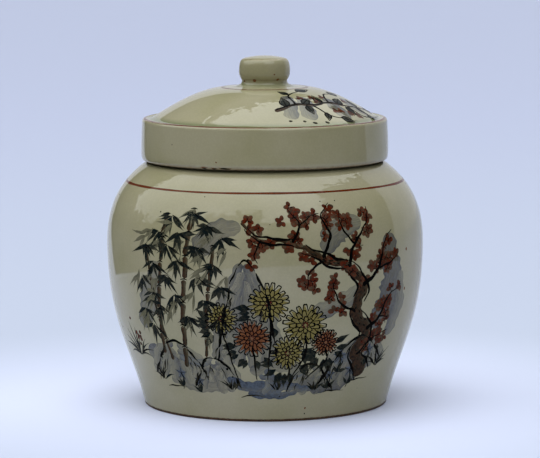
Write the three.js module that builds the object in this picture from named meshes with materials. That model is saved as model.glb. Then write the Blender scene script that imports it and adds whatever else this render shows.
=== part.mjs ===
// A lidded stoneware jar: a round-shouldered body on a turned foot, a domed cap lid whose skirt
// drops over the neck, and a knob luted to the crown of the lid.
// Millimetres, +Z up. The origin is the centre of the foot, on the surface that the jar stands on.
import * as THREE from "three";

// Jar body
const FOOT_RADIUS = 71.7;
const FOOT_ROUNDING = 0.9;
const FOOT_RING_WIDTH = 6;
const FOOT_RECESS_DEPTH = 3.2;
const BELLY_RADIUS = 93.1;
const BELLY_HEIGHT = 95.3;
const FLARE_SLOPE = 0.247; // outward run for each millimetre of rise, where the wall leaves the foot
const FLARE_PULL = 34; // how far the wall keeps that direction
const LOWER_BELLY_PULL = 46;
const UPPER_BELLY_PULL = 15.5;
const SHOULDER_RADIUS = 73;
const SHOULDER_HEIGHT = 140.3;
const SHOULDER_SLOPE = 0.79; // rise for each millimetre inwards
const SHOULDER_PULL = 21.3;
const JAR_WALL = 5.2;
const FLOOR_THICKNESS = 7;
const FLOOR_ROUNDING = 9;

// Neck
const NECK_RADIUS = 66.3;
const NECK_WALL = 5;
const NECK_HEIGHT = 19.6;
const NECK_FILLET = 1.8;
const THROAT_ROUNDING = 4;
const LEDGE_RISE = 2.6; // the nearly level ledge round the neck, above the end of the shoulder curve
const RIM_ROUNDING = 1.2;

// Lid
const SKIRT_CLEARANCE = 1.5; // radial room between the neck and the skirt
const SKIRT_WALL = 4.8;
const SKIRT_GAP = 1; // height of the skirt's lower edge above the ledge
const SKIRT_TAPER = 0.55; // the skirt is this much narrower at its top
const SKIRT_OUTER_ROUNDING = 2.4;
const SKIRT_INNER_ROUNDING = 1.4;
const SEAT_CLEARANCE = 0.3; // height of the lid's inner ledge above the rim, at rest
const SEAT_WIDTH = 7.5;
const SEAT_ROUNDING = 1;
const SEAT_THICKNESS = 5.6; // clay over the rim, up to the bead round the dome
const BEAD_ROUNDING = 2.3;
const GUTTER_DEPTH = 0.4; // the groove inside the bead, where the glaze pools
const GUTTER_WIDTH = 3;
const GUTTER_EASE = 0.75; // how far the groove's side stays level at its top and at its bottom
const DOME_FOOT_INSET = 8.2; // from the skirt's face to where the dome leaves the groove
const DOME_FOOT_RISE = 1.5; // height of that place above the groove
const DOME_RISE = 17.5;
const DOME_FOOT_SLOPE = 0.645;
const DOME_FOOT_PULL = 28.8;
const DOME_CROWN_PULL = 8.3;
const DOME_CROWN_SLOPE = 0.14;
const DOME_WALL = 5;

// Knob
const KNOB_RADIUS = 15.05;
const KNOB_HEIGHT = 17.7;
const KNOB_FOOT_RADIUS = 17.2;
const KNOB_WAIST_RADIUS = 13.35;
const KNOB_WAIST_HEIGHT = 2.9;
const KNOB_FLARE_EASE = 0.72; // how low the foot's hollow curve comes before it runs out over the dome
const KNOB_UNDERCUT = 5.1; // height of the lower edge of the grip over the foot
const KNOB_BULGE = 8; // height of the widest place
const KNOB_TOP_ROUNDING = 4;
const KNOB_CROWN = 1.8; // how far the top swells over its edge
const KNOB_EDGE_RISE = 0.6; // the part of that swell that the rounded edge takes

// Facets
const BODY_SEGMENTS = 56;
const KNOB_SEGMENTS = 40;
const SMALL_EDGE_STEPS = 2;
const EDGE_STEPS = 3;
const BOLD_EDGE_STEPS = 4;
const KNOB_STEPS = 6;
const SHOULDER_STEPS = 10;
const WALL_STEPS = 12; // the lower wall, and the dome
const INNER_SHOULDER_STEPS = 7;
const INNER_WALL_STEPS = 9;
const INNER_DOME_STEPS = 8;
const SAME_PLACE = 1e-6; // points nearer to each other than this are one

// Fired colours
const BODY_GLAZE = 0x9c997c;
const LID_GLAZE = 0xa09d82;
const KNOB_GLAZE = 0x9a967b;
const GLAZE_ROUGHNESS = 0.08;

const point = (radius, height) => new THREE.Vector2(radius, height);
const cubic = (from, pull, back, to) => new THREE.CubicBezierCurve(from, pull, back, to);

/** A straight run of a profile. */
const line = (from, to) => [new THREE.LineCurve(from, to), 1];

/** A quarter turn, or less, from one point to another round the corner between them. */
const corner = (from, at, to, steps = EDGE_STEPS) => [new THREE.QuadraticBezierCurve(from, at, to), steps];

/** The points of a run of [curve, steps] pairs, with no point given twice. */
function trace(...run) {
  const points = [];
  for (const [curve, steps] of run) {
    for (const next of curve.getPoints(steps)) {
      const last = points[points.length - 1];
      if (!last || last.distanceTo(next) > SAME_PLACE) points.push(next);
    }
  }
  return points;
}

/** A point of a curve, pushed into the clay, which lies on the left as the curve is walked. */
function insetPoint(curve, at, thickness) {
  const along = curve.getTangent(at);
  return curve.getPoint(at).addScaledVector(point(-along.y, along.x), thickness);
}

/** The other face of a wall of even thickness, walked from the curve's end back to its start. */
function inset(curve, steps, thickness) {
  const points = [];
  for (let i = steps; i >= 0; i -= 1) points.push(insetPoint(curve, i / steps, thickness));
  return points;
}

// Heights and radii that follow from the sizes above
const ledgeHeight = SHOULDER_HEIGHT + LEDGE_RISE;
const rimHeight = ledgeHeight + NECK_HEIGHT;
const neckBore = NECK_RADIUS - NECK_WALL;
const skirtBore = NECK_RADIUS + SKIRT_CLEARANCE;
const skirtRadius = skirtBore + SKIRT_WALL;
const skirtFoot = ledgeHeight + SKIRT_GAP;
const seatHeight = rimHeight + SEAT_CLEARANCE;
const seatInner = skirtBore - SEAT_WIDTH;
const beadHeight = seatHeight + SEAT_THICKNESS;
const gutterFloor = beadHeight - GUTTER_DEPTH;
const domeFoot = point(skirtRadius - DOME_FOOT_INSET, gutterFloor + DOME_FOOT_RISE);
const knobSeatHeight = domeFoot.y + DOME_RISE;

/** The jar's outer wall: one curve from the foot to the belly, one from there to the shoulder. */
function jarWallCurves() {
  const foot = point(FOOT_RADIUS, FOOT_ROUNDING);
  const belly = point(BELLY_RADIUS, BELLY_HEIGHT);
  const shoulder = point(SHOULDER_RADIUS, SHOULDER_HEIGHT);
  const leaving = point(FLARE_SLOPE, 1).normalize();
  const arriving = point(1, -SHOULDER_SLOPE).normalize();
  const lower = cubic(
    foot,
    foot.clone().addScaledVector(leaving, FLARE_PULL),
    point(belly.x, belly.y - LOWER_BELLY_PULL),
    belly,
  );
  const upper = cubic(
    belly,
    point(belly.x, belly.y + UPPER_BELLY_PULL),
    shoulder.clone().addScaledVector(arriving, SHOULDER_PULL),
    shoulder,
  );
  return { lower, upper };
}

/** The turned foot: a shallow recess, the ring that the jar stands on, and its rounded edge. */
function footProfile() {
  const recessRadius = FOOT_RADIUS - FOOT_RING_WIDTH;
  const recessEdge = point(recessRadius - FOOT_RECESS_DEPTH, FOOT_RECESS_DEPTH);
  const ringEdge = point(FOOT_RADIUS - FOOT_ROUNDING, 0);
  return trace(
    line(point(0, FOOT_RECESS_DEPTH), recessEdge),
    corner(recessEdge, point(recessRadius, FOOT_RECESS_DEPTH), point(recessRadius, 0)),
    line(point(recessRadius, 0), ringEdge),
    corner(ringEdge, point(FOOT_RADIUS, 0), point(FOOT_RADIUS, FOOT_ROUNDING), SMALL_EDGE_STEPS),
  );
}

/** The ledge that the skirt hangs over, the neck, and its rounded rim. */
function neckProfile() {
  const shoulder = point(SHOULDER_RADIUS, SHOULDER_HEIGHT);
  const ledgeBend = point(SHOULDER_RADIUS - LEDGE_RISE / SHOULDER_SLOPE, ledgeHeight);
  const ledgeEnd = point(NECK_RADIUS + NECK_FILLET, ledgeHeight);
  const ledgeMiddle = ledgeBend.clone().lerp(ledgeEnd, 0.5);
  return trace(
    corner(shoulder, ledgeBend, ledgeMiddle),
    line(ledgeMiddle, ledgeEnd),
    corner(
      ledgeEnd,
      point(NECK_RADIUS, ledgeHeight),
      point(NECK_RADIUS, ledgeHeight + NECK_FILLET),
      SMALL_EDGE_STEPS,
    ),
    corner(
      point(NECK_RADIUS, rimHeight - RIM_ROUNDING),
      point(NECK_RADIUS, rimHeight),
      point(NECK_RADIUS - RIM_ROUNDING, rimHeight),
    ),
    corner(
      point(neckBore + RIM_ROUNDING, rimHeight),
      point(neckBore, rimHeight),
      point(neckBore, rimHeight - RIM_ROUNDING),
    ),
  );
}

/** The inside from the throat down the wall to the middle of the floor. */
function insideProfile(lower, upper) {
  const ceiling = ledgeHeight - JAR_WALL;
  const throat = trace(
    corner(
      point(neckBore, ceiling + THROAT_ROUNDING),
      point(neckBore, ceiling),
      point(neckBore + THROAT_ROUNDING, ceiling),
    ),
  );
  const wall = inset(lower, INNER_WALL_STEPS, JAR_WALL).filter((p) => p.y > FLOOR_THICKNESS + FLOOR_ROUNDING);
  const wallFoot = wall[wall.length - 1];
  const floorEdge = point(wallFoot.x - FLOOR_ROUNDING, FLOOR_THICKNESS);
  const floorCorner = point(wallFoot.x - FLARE_SLOPE * FLOOR_ROUNDING, FLOOR_THICKNESS);
  const floor = trace(
    corner(wallFoot, floorCorner, floorEdge, BOLD_EDGE_STEPS),
    line(floorEdge, point(0, FLOOR_THICKNESS)),
  );
  return [...throat, ...inset(upper, INNER_SHOULDER_STEPS, JAR_WALL), ...wall.slice(1), ...floor.slice(1)];
}

/** Foot, wall, shoulder, neck and inside as one thrown wall of even thickness. */
function jarProfile() {
  const { lower, upper } = jarWallCurves();
  const wall = trace([lower, WALL_STEPS], [upper, SHOULDER_STEPS]);
  return [...footProfile(), ...wall.slice(1), ...neckProfile().slice(1), ...insideProfile(lower, upper)];
}

/** The outer curve of the dome, from its foot inside the bead up to the knob. */
function domeCurve() {
  const crown = point(KNOB_FOOT_RADIUS, knobSeatHeight);
  return cubic(
    domeFoot,
    point(domeFoot.x - DOME_FOOT_PULL, domeFoot.y + DOME_FOOT_PULL * DOME_FOOT_SLOPE),
    point(crown.x + DOME_CROWN_PULL, crown.y - DOME_CROWN_PULL * DOME_CROWN_SLOPE),
    crown,
  );
}

/** Skirt, bead, gutter and dome outside; dome, seat and skirt inside. */
function lidProfile() {
  const dome = domeCurve();
  const skirtTop = skirtRadius - SKIRT_TAPER;
  const skirtUpper = point(skirtTop, beadHeight - BEAD_ROUNDING);
  const skirtLower = point(skirtRadius, skirtFoot + SKIRT_OUTER_ROUNDING);
  const beadCrest = point(skirtTop - BEAD_ROUNDING, beadHeight);
  const gutter = point(beadCrest.x - GUTTER_WIDTH / 2, gutterFloor);

  const outside = trace(
    corner(
      point(skirtRadius - SKIRT_OUTER_ROUNDING, skirtFoot),
      point(skirtRadius, skirtFoot),
      skirtLower,
      BOLD_EDGE_STEPS,
    ),
    corner(skirtLower, point(skirtRadius, (skirtFoot + beadHeight) / 2), skirtUpper),
    corner(skirtUpper, point(skirtTop, beadHeight), beadCrest, BOLD_EDGE_STEPS),
    [
      cubic(
        beadCrest,
        point(beadCrest.x - GUTTER_EASE, beadHeight),
        point(gutter.x + GUTTER_EASE, gutterFloor),
        gutter,
      ),
      EDGE_STEPS,
    ],
    corner(gutter, point(domeFoot.x + DOME_FOOT_RISE / DOME_FOOT_SLOPE, gutterFloor), domeFoot),
    [dome, WALL_STEPS],
    line(dome.getPoint(1), point(0, knobSeatHeight)),
  );

  const hollow = inset(dome, INNER_DOME_STEPS, DOME_WALL).filter((p) => p.x < seatInner);
  const springing = hollow[hollow.length - 1];
  const inside = trace(
    corner(springing, point(seatInner, springing.y - SEAT_ROUNDING), point(seatInner, seatHeight)),
    line(point(seatInner, seatHeight), point(skirtBore - SEAT_ROUNDING, seatHeight)),
    corner(
      point(skirtBore - SEAT_ROUNDING, seatHeight),
      point(skirtBore, seatHeight),
      point(skirtBore, seatHeight - SEAT_ROUNDING),
      SMALL_EDGE_STEPS,
    ),
    corner(
      point(skirtBore, skirtFoot + SKIRT_INNER_ROUNDING),
      point(skirtBore, skirtFoot),
      point(skirtBore + SKIRT_INNER_ROUNDING, skirtFoot),
    ),
  );
  return [...outside, point(0, hollow[0].y), ...hollow, ...inside.slice(1), outside[0].clone()];
}

/** A flaring foot, a low waist, an undercut, a barrel grip and a gently swollen top. */
function knobProfile() {
  const at = (radius, height) => point(radius, knobSeatHeight + height);
  const edge = KNOB_HEIGHT - KNOB_CROWN;
  const rounded = KNOB_RADIUS - KNOB_TOP_ROUNDING;
  const waist = at(KNOB_WAIST_RADIUS, KNOB_WAIST_HEIGHT);
  const widest = at(KNOB_RADIUS, KNOB_BULGE);
  const topEdge = at(rounded, edge + KNOB_EDGE_RISE);
  const under = cubic(
    waist,
    at(KNOB_WAIST_RADIUS, (KNOB_WAIST_HEIGHT + KNOB_UNDERCUT) / 2),
    at(KNOB_RADIUS, KNOB_UNDERCUT),
    widest,
  );
  const over = cubic(widest, at(KNOB_RADIUS, edge), at(rounded + KNOB_TOP_ROUNDING / 2, edge), topEdge);
  return trace(
    line(at(0, 0), at(KNOB_FOOT_RADIUS, 0)),
    corner(at(KNOB_FOOT_RADIUS, 0), at(KNOB_WAIST_RADIUS, KNOB_FLARE_EASE), waist, BOLD_EDGE_STEPS),
    [under, KNOB_STEPS],
    [over, KNOB_STEPS],
    corner(topEdge, at(rounded / 2, KNOB_HEIGHT), at(0, KNOB_HEIGHT), BOLD_EDGE_STEPS),
  );
}

/** A named mesh, spun round the jar's axis from its profile. */
function spun(name, profile, segments, color) {
  const geometry = new THREE.LatheGeometry(profile, segments);
  geometry.rotateX(Math.PI / 2);
  const material = new THREE.MeshStandardMaterial({ color, roughness: GLAZE_ROUGHNESS, metalness: 0 });
  const mesh = new THREE.Mesh(geometry, material);
  mesh.name = name;
  return mesh;
}

const lid = new THREE.Group();
lid.add(spun("lid_cap", lidProfile(), BODY_SEGMENTS, LID_GLAZE));
lid.add(spun("lid_knob", knobProfile(), KNOB_SEGMENTS, KNOB_GLAZE));

const jar = new THREE.Group();
jar.add(spun("jar_body", jarProfile(), BODY_SEGMENTS, BODY_GLAZE));
jar.add(lid);

export default jar;
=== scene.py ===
"""Looks of a lidded stoneware jar: glazed turned surfaces, brushed oxide decoration, camera, light and floor.

Lengths are millimetres while a surface is worked out, and metres once it is a mesh. The front of the jar faces -Y.
"""

import logging
import math
from dataclasses import dataclass, field
from enum import Enum
from typing import Sequence

import bpy
import numpy as np
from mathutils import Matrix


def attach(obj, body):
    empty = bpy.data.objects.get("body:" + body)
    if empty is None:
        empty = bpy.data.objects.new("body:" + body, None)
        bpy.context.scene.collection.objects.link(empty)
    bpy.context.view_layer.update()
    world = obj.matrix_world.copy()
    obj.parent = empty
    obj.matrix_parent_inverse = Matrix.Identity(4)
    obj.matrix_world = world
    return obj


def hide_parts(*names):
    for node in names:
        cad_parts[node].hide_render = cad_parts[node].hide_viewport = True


LOG = logging.getLogger("lidded_jar")
MM = 0.001

# Distances that count as none, in millimetres, and angles in radians
SAME_PLACE = 1e-5
TOUCHING = 1e-6
NO_LENGTH = 1e-9
FULL_TURN = 6.283
ANY_PHASE = 6.28
UPRIGHT = 1.57

Point = tuple[float, float]
Rgb = tuple[int, int, int]

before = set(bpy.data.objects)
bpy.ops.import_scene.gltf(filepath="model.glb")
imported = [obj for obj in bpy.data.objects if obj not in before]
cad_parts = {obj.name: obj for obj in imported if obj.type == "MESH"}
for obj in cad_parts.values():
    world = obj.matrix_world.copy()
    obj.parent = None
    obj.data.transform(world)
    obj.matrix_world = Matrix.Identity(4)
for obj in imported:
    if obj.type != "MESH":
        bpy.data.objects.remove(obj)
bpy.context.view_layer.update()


# Curves in the profile's plane

def bezier(controls: Sequence[Point], count: int) -> np.ndarray:
    """Points on a Bezier curve: the sum of the controls, each times its Bernstein weight.

    Args:
        controls: the start, the points that pull the curve, and the end.
        count: how many points to take.

    Returns:
        An array of count rows, radius and height.
    """
    degree = len(controls) - 1
    t = np.linspace(0.0, 1.0, count)[:, None]
    total = np.zeros((count, 2))
    for i, control in enumerate(controls):
        total += math.comb(degree, i) * t**i * (1.0 - t) ** (degree - i) * np.asarray(control, float)
    return total


def straight(start: Point, end: Point, count: int) -> np.ndarray:
    """Evenly spaced points from start to end."""
    return bezier([start, end], count)


def chain(*runs: np.ndarray) -> np.ndarray:
    """The runs end to end, without the point that each shares with the one before.

    Args:
        runs: arrays of points, each of which starts where the one before ends.

    Returns:
        All their points in one array.
    """
    points = np.vstack(runs)
    apart = np.linalg.norm(np.diff(points, axis=0), axis=1) > SAME_PLACE
    return points[np.concatenate([[True], apart])]


def left_of(curve: np.ndarray) -> np.ndarray:
    """Unit vectors square to a curve, on its left as it is walked.

    Args:
        curve: one row of two coordinates for each point.

    Returns:
        One unit vector for each point.
    """
    along = np.gradient(curve, axis=0)
    along /= np.maximum(np.linalg.norm(along, axis=1, keepdims=True), NO_LENGTH)
    return np.column_stack([-along[:, 1], along[:, 0]])


def inside_of(curve: np.ndarray, thickness: float) -> np.ndarray:
    """The curve moved into the clay, on its left, by a wall's thickness."""
    return curve + thickness * left_of(curve)


def pointing(turn: float) -> np.ndarray:
    """The unit vector at an angle in radians: its cosine and its sine."""
    return np.array([math.cos(turn), math.sin(turn)])


def carried_round(angle: np.ndarray, radius: np.ndarray, height: np.ndarray) -> np.ndarray:
    """Points at (r sin a, -r cos a, z) for angles from the front, with x, y and z as the last axis."""
    x, y = radius * np.sin(angle), -radius * np.cos(angle)
    return np.stack([x, y, np.broadcast_to(height, x.shape)], axis=-1)


def arc_length(curve: np.ndarray) -> np.ndarray:
    """Length along the curve from its first point to each of its points."""
    steps = np.linalg.norm(np.diff(curve, axis=0), axis=1)
    return np.concatenate([[0.0], np.cumsum(steps)])


def smooth(t: np.ndarray) -> np.ndarray:
    """An S-shaped ease from 0 to 1: 3t squared less 2t cubed, held outside that span."""
    t = np.clip(t, 0.0, 1.0)
    return t * t * (3.0 - 2.0 * t)


def near(values: np.ndarray, centre: float, width: float) -> np.ndarray:
    """1 at the centre, easing to 0 at a width from it."""
    return 1.0 - smooth(np.abs(values - centre) / width)


# Meshes

def make_mesh(name: str, vertices: np.ndarray, faces: Sequence[np.ndarray], flat: int = 0) -> bpy.types.Object:
    """A mesh object from arrays, at the origin, its points turned from millimetres to metres.

    Args:
        name: the object's name.
        vertices: one row of x, y, z for each point, in millimetres.
        faces: arrays of point numbers, one row for each face.
        flat: how many of the last faces are shaded flat, as the cut side of a coat of colour is.

    Returns:
        The linked object.
    """
    loops = np.concatenate([f.ravel() for f in faces]).astype(np.int32)
    sizes = np.concatenate([np.full(len(f), f.shape[1]) for f in faces])
    starts = np.concatenate([[0], np.cumsum(sizes)[:-1]]).astype(np.int32)
    mesh = bpy.data.meshes.new(name)
    mesh.vertices.add(len(vertices))
    mesh.vertices.foreach_set("co", (vertices * MM).astype(np.float32).ravel())
    mesh.loops.add(len(loops))
    mesh.loops.foreach_set("vertex_index", loops)
    mesh.polygons.add(len(sizes))
    mesh.polygons.foreach_set("loop_start", starts)
    shading = np.ones(len(sizes), dtype=bool)
    if flat:
        shading[-flat:] = False
    mesh.polygons.foreach_set("use_smooth", shading)
    mesh.update(calc_edges=True)
    mesh.validate()
    piece = bpy.data.objects.new(name, mesh)
    bpy.context.scene.collection.objects.link(piece)
    return piece


def paint_attribute(piece: bpy.types.Object, name: str, values: np.ndarray) -> None:
    """Keeps one number for each point of a piece, for its material to read."""
    layer = piece.data.attributes.new(name, "FLOAT", "POINT")
    layer.data.foreach_set("value", np.asarray(values, np.float32))


@dataclass
class Turned:
    """A solid of revolution: each profile point carried round the vertical axis.

    A slow sway of a tenth of a millimetre, a sum of low waves in angle and height, keeps it from being
    machine-true. A profile that ends where it starts is closed into one wall.
    """

    name: str
    profile: np.ndarray
    segments: int
    sway: float = 0.06
    kept: np.ndarray = field(init=False)

    def swayed(self, angle: np.ndarray, radius: np.ndarray, height: np.ndarray) -> np.ndarray:
        """Radius after the sway, which is only ever inwards, and dies out at the axis."""
        wave = np.sin(2 * angle + 0.9) + 0.7 * np.sin(3 * angle + height / 31.0) + 0.5 * np.sin(height / 7.3 + angle)
        return radius - self.sway * (2.2 + wave) / 2.0 * np.minimum(radius / 20.0, 1.0)

    def build(self) -> bpy.types.Object:
        """Quads between one ring of points and the next, and a fan where the profile meets the axis.

        Returns:
            The closed piece. Its kept array marks the grid points that are in the mesh.
        """
        angle = np.arange(self.segments) * 2 * math.pi / self.segments
        radius, height = self.profile[:, :1], self.profile[:, 1:]
        vertices = carried_round(angle, self.swayed(angle[None, :], radius, height), height).reshape(-1, 3)
        on_axis = self.profile[:, 0] < TOUCHING
        rings = np.arange(len(self.profile))
        if np.linalg.norm(self.profile[0] - self.profile[-1]) < TOUCHING:
            rings[-1] = 0
        here = np.arange(self.segments)
        after = (here + 1) % self.segments
        low, high = rings[:-1] * self.segments, rings[1:] * self.segments
        wall = ~on_axis[:-1] & ~on_axis[1:]
        a, b = low[wall][:, None], high[wall][:, None]
        faces = [np.stack([a + here, a + after, b + after, b + here], axis=-1).reshape(-1, 4)]
        for i in np.flatnonzero(on_axis[:-1] != on_axis[1:]):
            if on_axis[i]:
                fan = [np.full_like(here, low[i]), high[i] + after, high[i] + here]
            else:
                fan = [low[i] + here, low[i] + after, np.full_like(here, high[i])]
            faces.append(np.stack(fan, axis=-1))
        self.kept = np.zeros(len(vertices), dtype=bool)
        for group in faces:
            self.kept[group.ravel()] = True
        renumber = np.cumsum(self.kept) - 1
        return make_mesh(self.name, vertices[self.kept], [renumber[group] for group in faces])

    def spread(self, values: np.ndarray) -> np.ndarray:
        """One value for each profile point, repeated round the ring for the points that were kept."""
        return np.repeat(values, self.segments)[self.kept]


def glazed(solid: Turned, states: dict[str, np.ndarray], glaze: bpy.types.Material) -> bpy.types.Object:
    """Builds a turned solid with its glaze.

    Args:
        solid: the solid.
        states: how bare, thin and pooled the glaze is at each profile point, from 0 to 1.
        glaze: the material, which reads the states from the piece.

    Returns:
        The glazed piece.
    """
    piece = solid.build()
    for name, values in states.items():
        paint_attribute(piece, name, solid.spread(values))
    piece.data.materials.append(glaze)
    return piece


@dataclass(frozen=True)
class Band:
    """A ring in which the glaze differs: how strongly, how far from an edge, and how wide, in millimetres."""

    amount: float
    offset: float
    width: float

    def beside(self, values: np.ndarray, edge: float) -> np.ndarray:
        """The band's strength at radii or heights, by how near they are to its middle."""
        return self.amount * near(values, edge + self.offset, self.width)


# Sizes of the jar, the lid and the knob

@dataclass(frozen=True)
class JarSizes:
    """The thrown jar, in millimetres, its height taken from the foot's standing surface."""

    foot_radius: float = 71.7
    foot_rounding: float = 0.9
    foot_ring_width: float = 6.0
    foot_recess_depth: float = 3.2
    belly_radius: float = 93.1
    belly_height: float = 95.3
    flare_slope: float = 0.247
    flare_pull: float = 34.0
    lower_belly_pull: float = 46.0
    upper_belly_pull: float = 15.5
    shoulder_radius: float = 73.0
    shoulder_height: float = 140.3
    shoulder_slope: float = 0.79
    shoulder_pull: float = 21.3
    wall: float = 5.2
    floor_thickness: float = 7.0
    floor_rounding: float = 9.0
    neck_radius: float = 66.3
    neck_wall: float = 5.0
    neck_height: float = 19.6
    neck_fillet: float = 1.8
    throat_rounding: float = 4.0
    ledge_rise: float = 2.6
    rim_rounding: float = 1.2

    @property
    def ledge_height(self) -> float:
        """Height of the level ledge round the neck."""
        return self.shoulder_height + self.ledge_rise

    @property
    def rim_height(self) -> float:
        """Height of the neck's rim."""
        return self.ledge_height + self.neck_height

    def outer_wall(self) -> np.ndarray:
        """The wall as two Bezier curves, from the foot to the belly and from the belly to the shoulder's end.

        Returns:
            Points from the bottom up, one row of radius and height for each.
        """
        rise = math.hypot(self.flare_slope, 1.0)
        fall = math.hypot(1.0, self.shoulder_slope)
        foot = (self.foot_radius, self.foot_rounding)
        belly = (self.belly_radius, self.belly_height)
        shoulder = (self.shoulder_radius, self.shoulder_height)
        flared = (foot[0] + self.flare_pull * self.flare_slope / rise, foot[1] + self.flare_pull / rise)
        sloped = (
            shoulder[0] + self.shoulder_pull / fall,
            shoulder[1] - self.shoulder_pull * self.shoulder_slope / fall,
        )
        lower = bezier([foot, flared, (belly[0], belly[1] - self.lower_belly_pull), belly], 86)
        upper = bezier([belly, (belly[0], belly[1] + self.upper_belly_pull), sloped, shoulder], 56)
        return chain(lower, upper)


@dataclass(frozen=True)
class LidSizes:
    """The cap lid and its knob, in millimetres."""

    skirt_clearance: float = 1.5
    skirt_wall: float = 4.8
    skirt_gap: float = 1.0
    skirt_taper: float = 0.55
    skirt_outer_rounding: float = 2.4
    skirt_inner_rounding: float = 1.4
    skirt_draw: float = 6.0
    skirt_ease: float = 0.5
    seat_clearance: float = 0.3
    seat_width: float = 7.5
    seat_thickness: float = 5.6
    seat_rounding: float = 1.0
    bead_rounding: float = 2.3
    gutter_depth: float = 0.4
    gutter_width: float = 3.0
    dome_foot_inset: float = 8.2
    dome_foot_rise: float = 1.5
    dome_rise: float = 17.5
    dome_foot_slope: float = 0.645
    dome_foot_pull: float = 28.8
    dome_crown_pull: float = 8.3
    dome_crown_slope: float = 0.14
    dome_wall: float = 5.0
    knob_radius: float = 15.05
    knob_height: float = 17.7
    knob_foot_radius: float = 17.2
    knob_waist_radius: float = 13.35
    knob_waist_height: float = 2.9
    knob_undercut: float = 5.1
    knob_bulge: float = 8.0
    knob_top_rounding: float = 4.0
    knob_crown: float = 1.8


# Node graphs

class Graph:
    """Adds nodes to a material, a group or the world in few words."""

    def __init__(self, tree: bpy.types.NodeTree) -> None:
        """Starts with an empty tree."""
        self.tree = tree
        tree.nodes.clear()

    def node(self, kind: str, inputs: dict | None = None, **settings: object) -> bpy.types.Node:
        """Adds a node.

        Args:
            kind: the node's type, without its ShaderNode prefix unless it is a group's end.
            inputs: socket name or number to a value, or to another node's output that feeds it.
            settings: attributes of the node.

        Returns:
            The new node.
        """
        name = kind if kind.startswith("NodeGroup") else "ShaderNode" + kind
        made = self.tree.nodes.new(name)
        for key, value in settings.items():
            setattr(made, key, value)
        for key, value in (inputs or {}).items():
            if isinstance(value, bpy.types.NodeSocket):
                self.tree.links.new(value, made.inputs[key])
            else:
                made.inputs[key].default_value = value
        return made

    def math(self, operation: str, a: object, b: object = 0.0, clamp: bool = False) -> bpy.types.NodeSocket:
        """One arithmetic step on two numbers or sockets."""
        return self.node("Math", {0: a, 1: b}, operation=operation, use_clamp=clamp).outputs[0]

    def ramp(
        self, value: object, low: float, high: float, start: float = 0.0, end: float = 1.0
    ) -> bpy.types.NodeSocket:
        """A smooth step: start where the value is low or less, end where it is high or more."""
        inputs = {"Value": value, "From Min": low, "From Max": high, "To Min": start, "To Max": end}
        return self.node("MapRange", inputs, interpolation_type="SMOOTHSTEP").outputs[0]

    def mix(self, share: object, a: object, b: object, blend: str = "MIX") -> bpy.types.NodeSocket:
        """Two colours mixed by a share of the second."""
        made = self.node("Mix", {0: share, 6: a, 7: b}, data_type="RGBA", blend_type=blend)
        return made.outputs[2]

    def noise(
        self, vector: object, scale: float, detail: float = 2.0, roughness: float = 0.5
    ) -> bpy.types.NodeSocket:
        """Cloudy noise from 0 to 1, in waves for each metre of the vector."""
        inputs = {"Vector": vector, "Scale": scale, "Detail": detail, "Roughness": roughness}
        return self.node("TexNoise", inputs).outputs[0]

    def grey(self, value: object) -> bpy.types.NodeSocket:
        """A colour whose three channels are one number."""
        return self.node("CombineColor", {0: value, 1: value, 2: value}).outputs[0]

    def place(self) -> bpy.types.NodeSocket:
        """Where a point is on its piece, in metres."""
        return self.node("TexCoord").outputs["Object"]

    def group(self, tree: bpy.types.NodeTree, inputs: dict | None = None) -> bpy.types.Node:
        """Places a node group with its own values."""
        return self.node("Group", inputs, node_tree=tree)

    def finish(self, inputs: dict) -> None:
        """Ends a material with a principled surface that has these inputs."""
        shader = self.node("BsdfPrincipled", inputs)
        self.node("OutputMaterial", {"Surface": shader.outputs[0]})


def new_group(name: str, inputs: dict[str, object], outputs: dict[str, str]) -> tuple[bpy.types.NodeTree, Graph]:
    """An empty shader group with named sockets.

    Args:
        name: the group's name.
        inputs: socket name to its default: a number, or four numbers for a colour.
        outputs: socket name to its kind, Float or Color.

    Returns:
        The group and a graph that adds nodes to it.
    """
    tree = bpy.data.node_groups.new(name, "ShaderNodeTree")
    graph = Graph(tree)
    for socket, default in inputs.items():
        kind = "NodeSocketColor" if isinstance(default, tuple) else "NodeSocketFloat"
        tree.interface.new_socket(socket, in_out="INPUT", socket_type=kind).default_value = default
    for socket, kind in outputs.items():
        tree.interface.new_socket(socket, in_out="OUTPUT", socket_type="NodeSocket" + kind)
    return tree, graph


def new_material(name: str) -> tuple[bpy.types.Material, Graph]:
    """An empty material.

    Args:
        name: the material's name.

    Returns:
        The material and a graph that adds nodes to it.
    """
    made = bpy.data.materials.new(name)
    made.use_nodes = True
    return made, Graph(made.node_tree)


def linear(colour: Rgb) -> tuple[float, float, float, float]:
    """A colour as light: the power curve of 2.4 that screens use, straight near black.

    Args:
        colour: red, green and blue as seen, from 0 to 255.

    Returns:
        Red, green and blue light from 0 to 1, and full alpha.
    """
    seen = np.asarray(colour) / 255.0
    light = np.where(seen <= 0.04045, seen / 12.92, ((seen + 0.055) / 1.055) ** 2.4)
    return (*map(float, light), 1.0)


# Finishes

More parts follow.
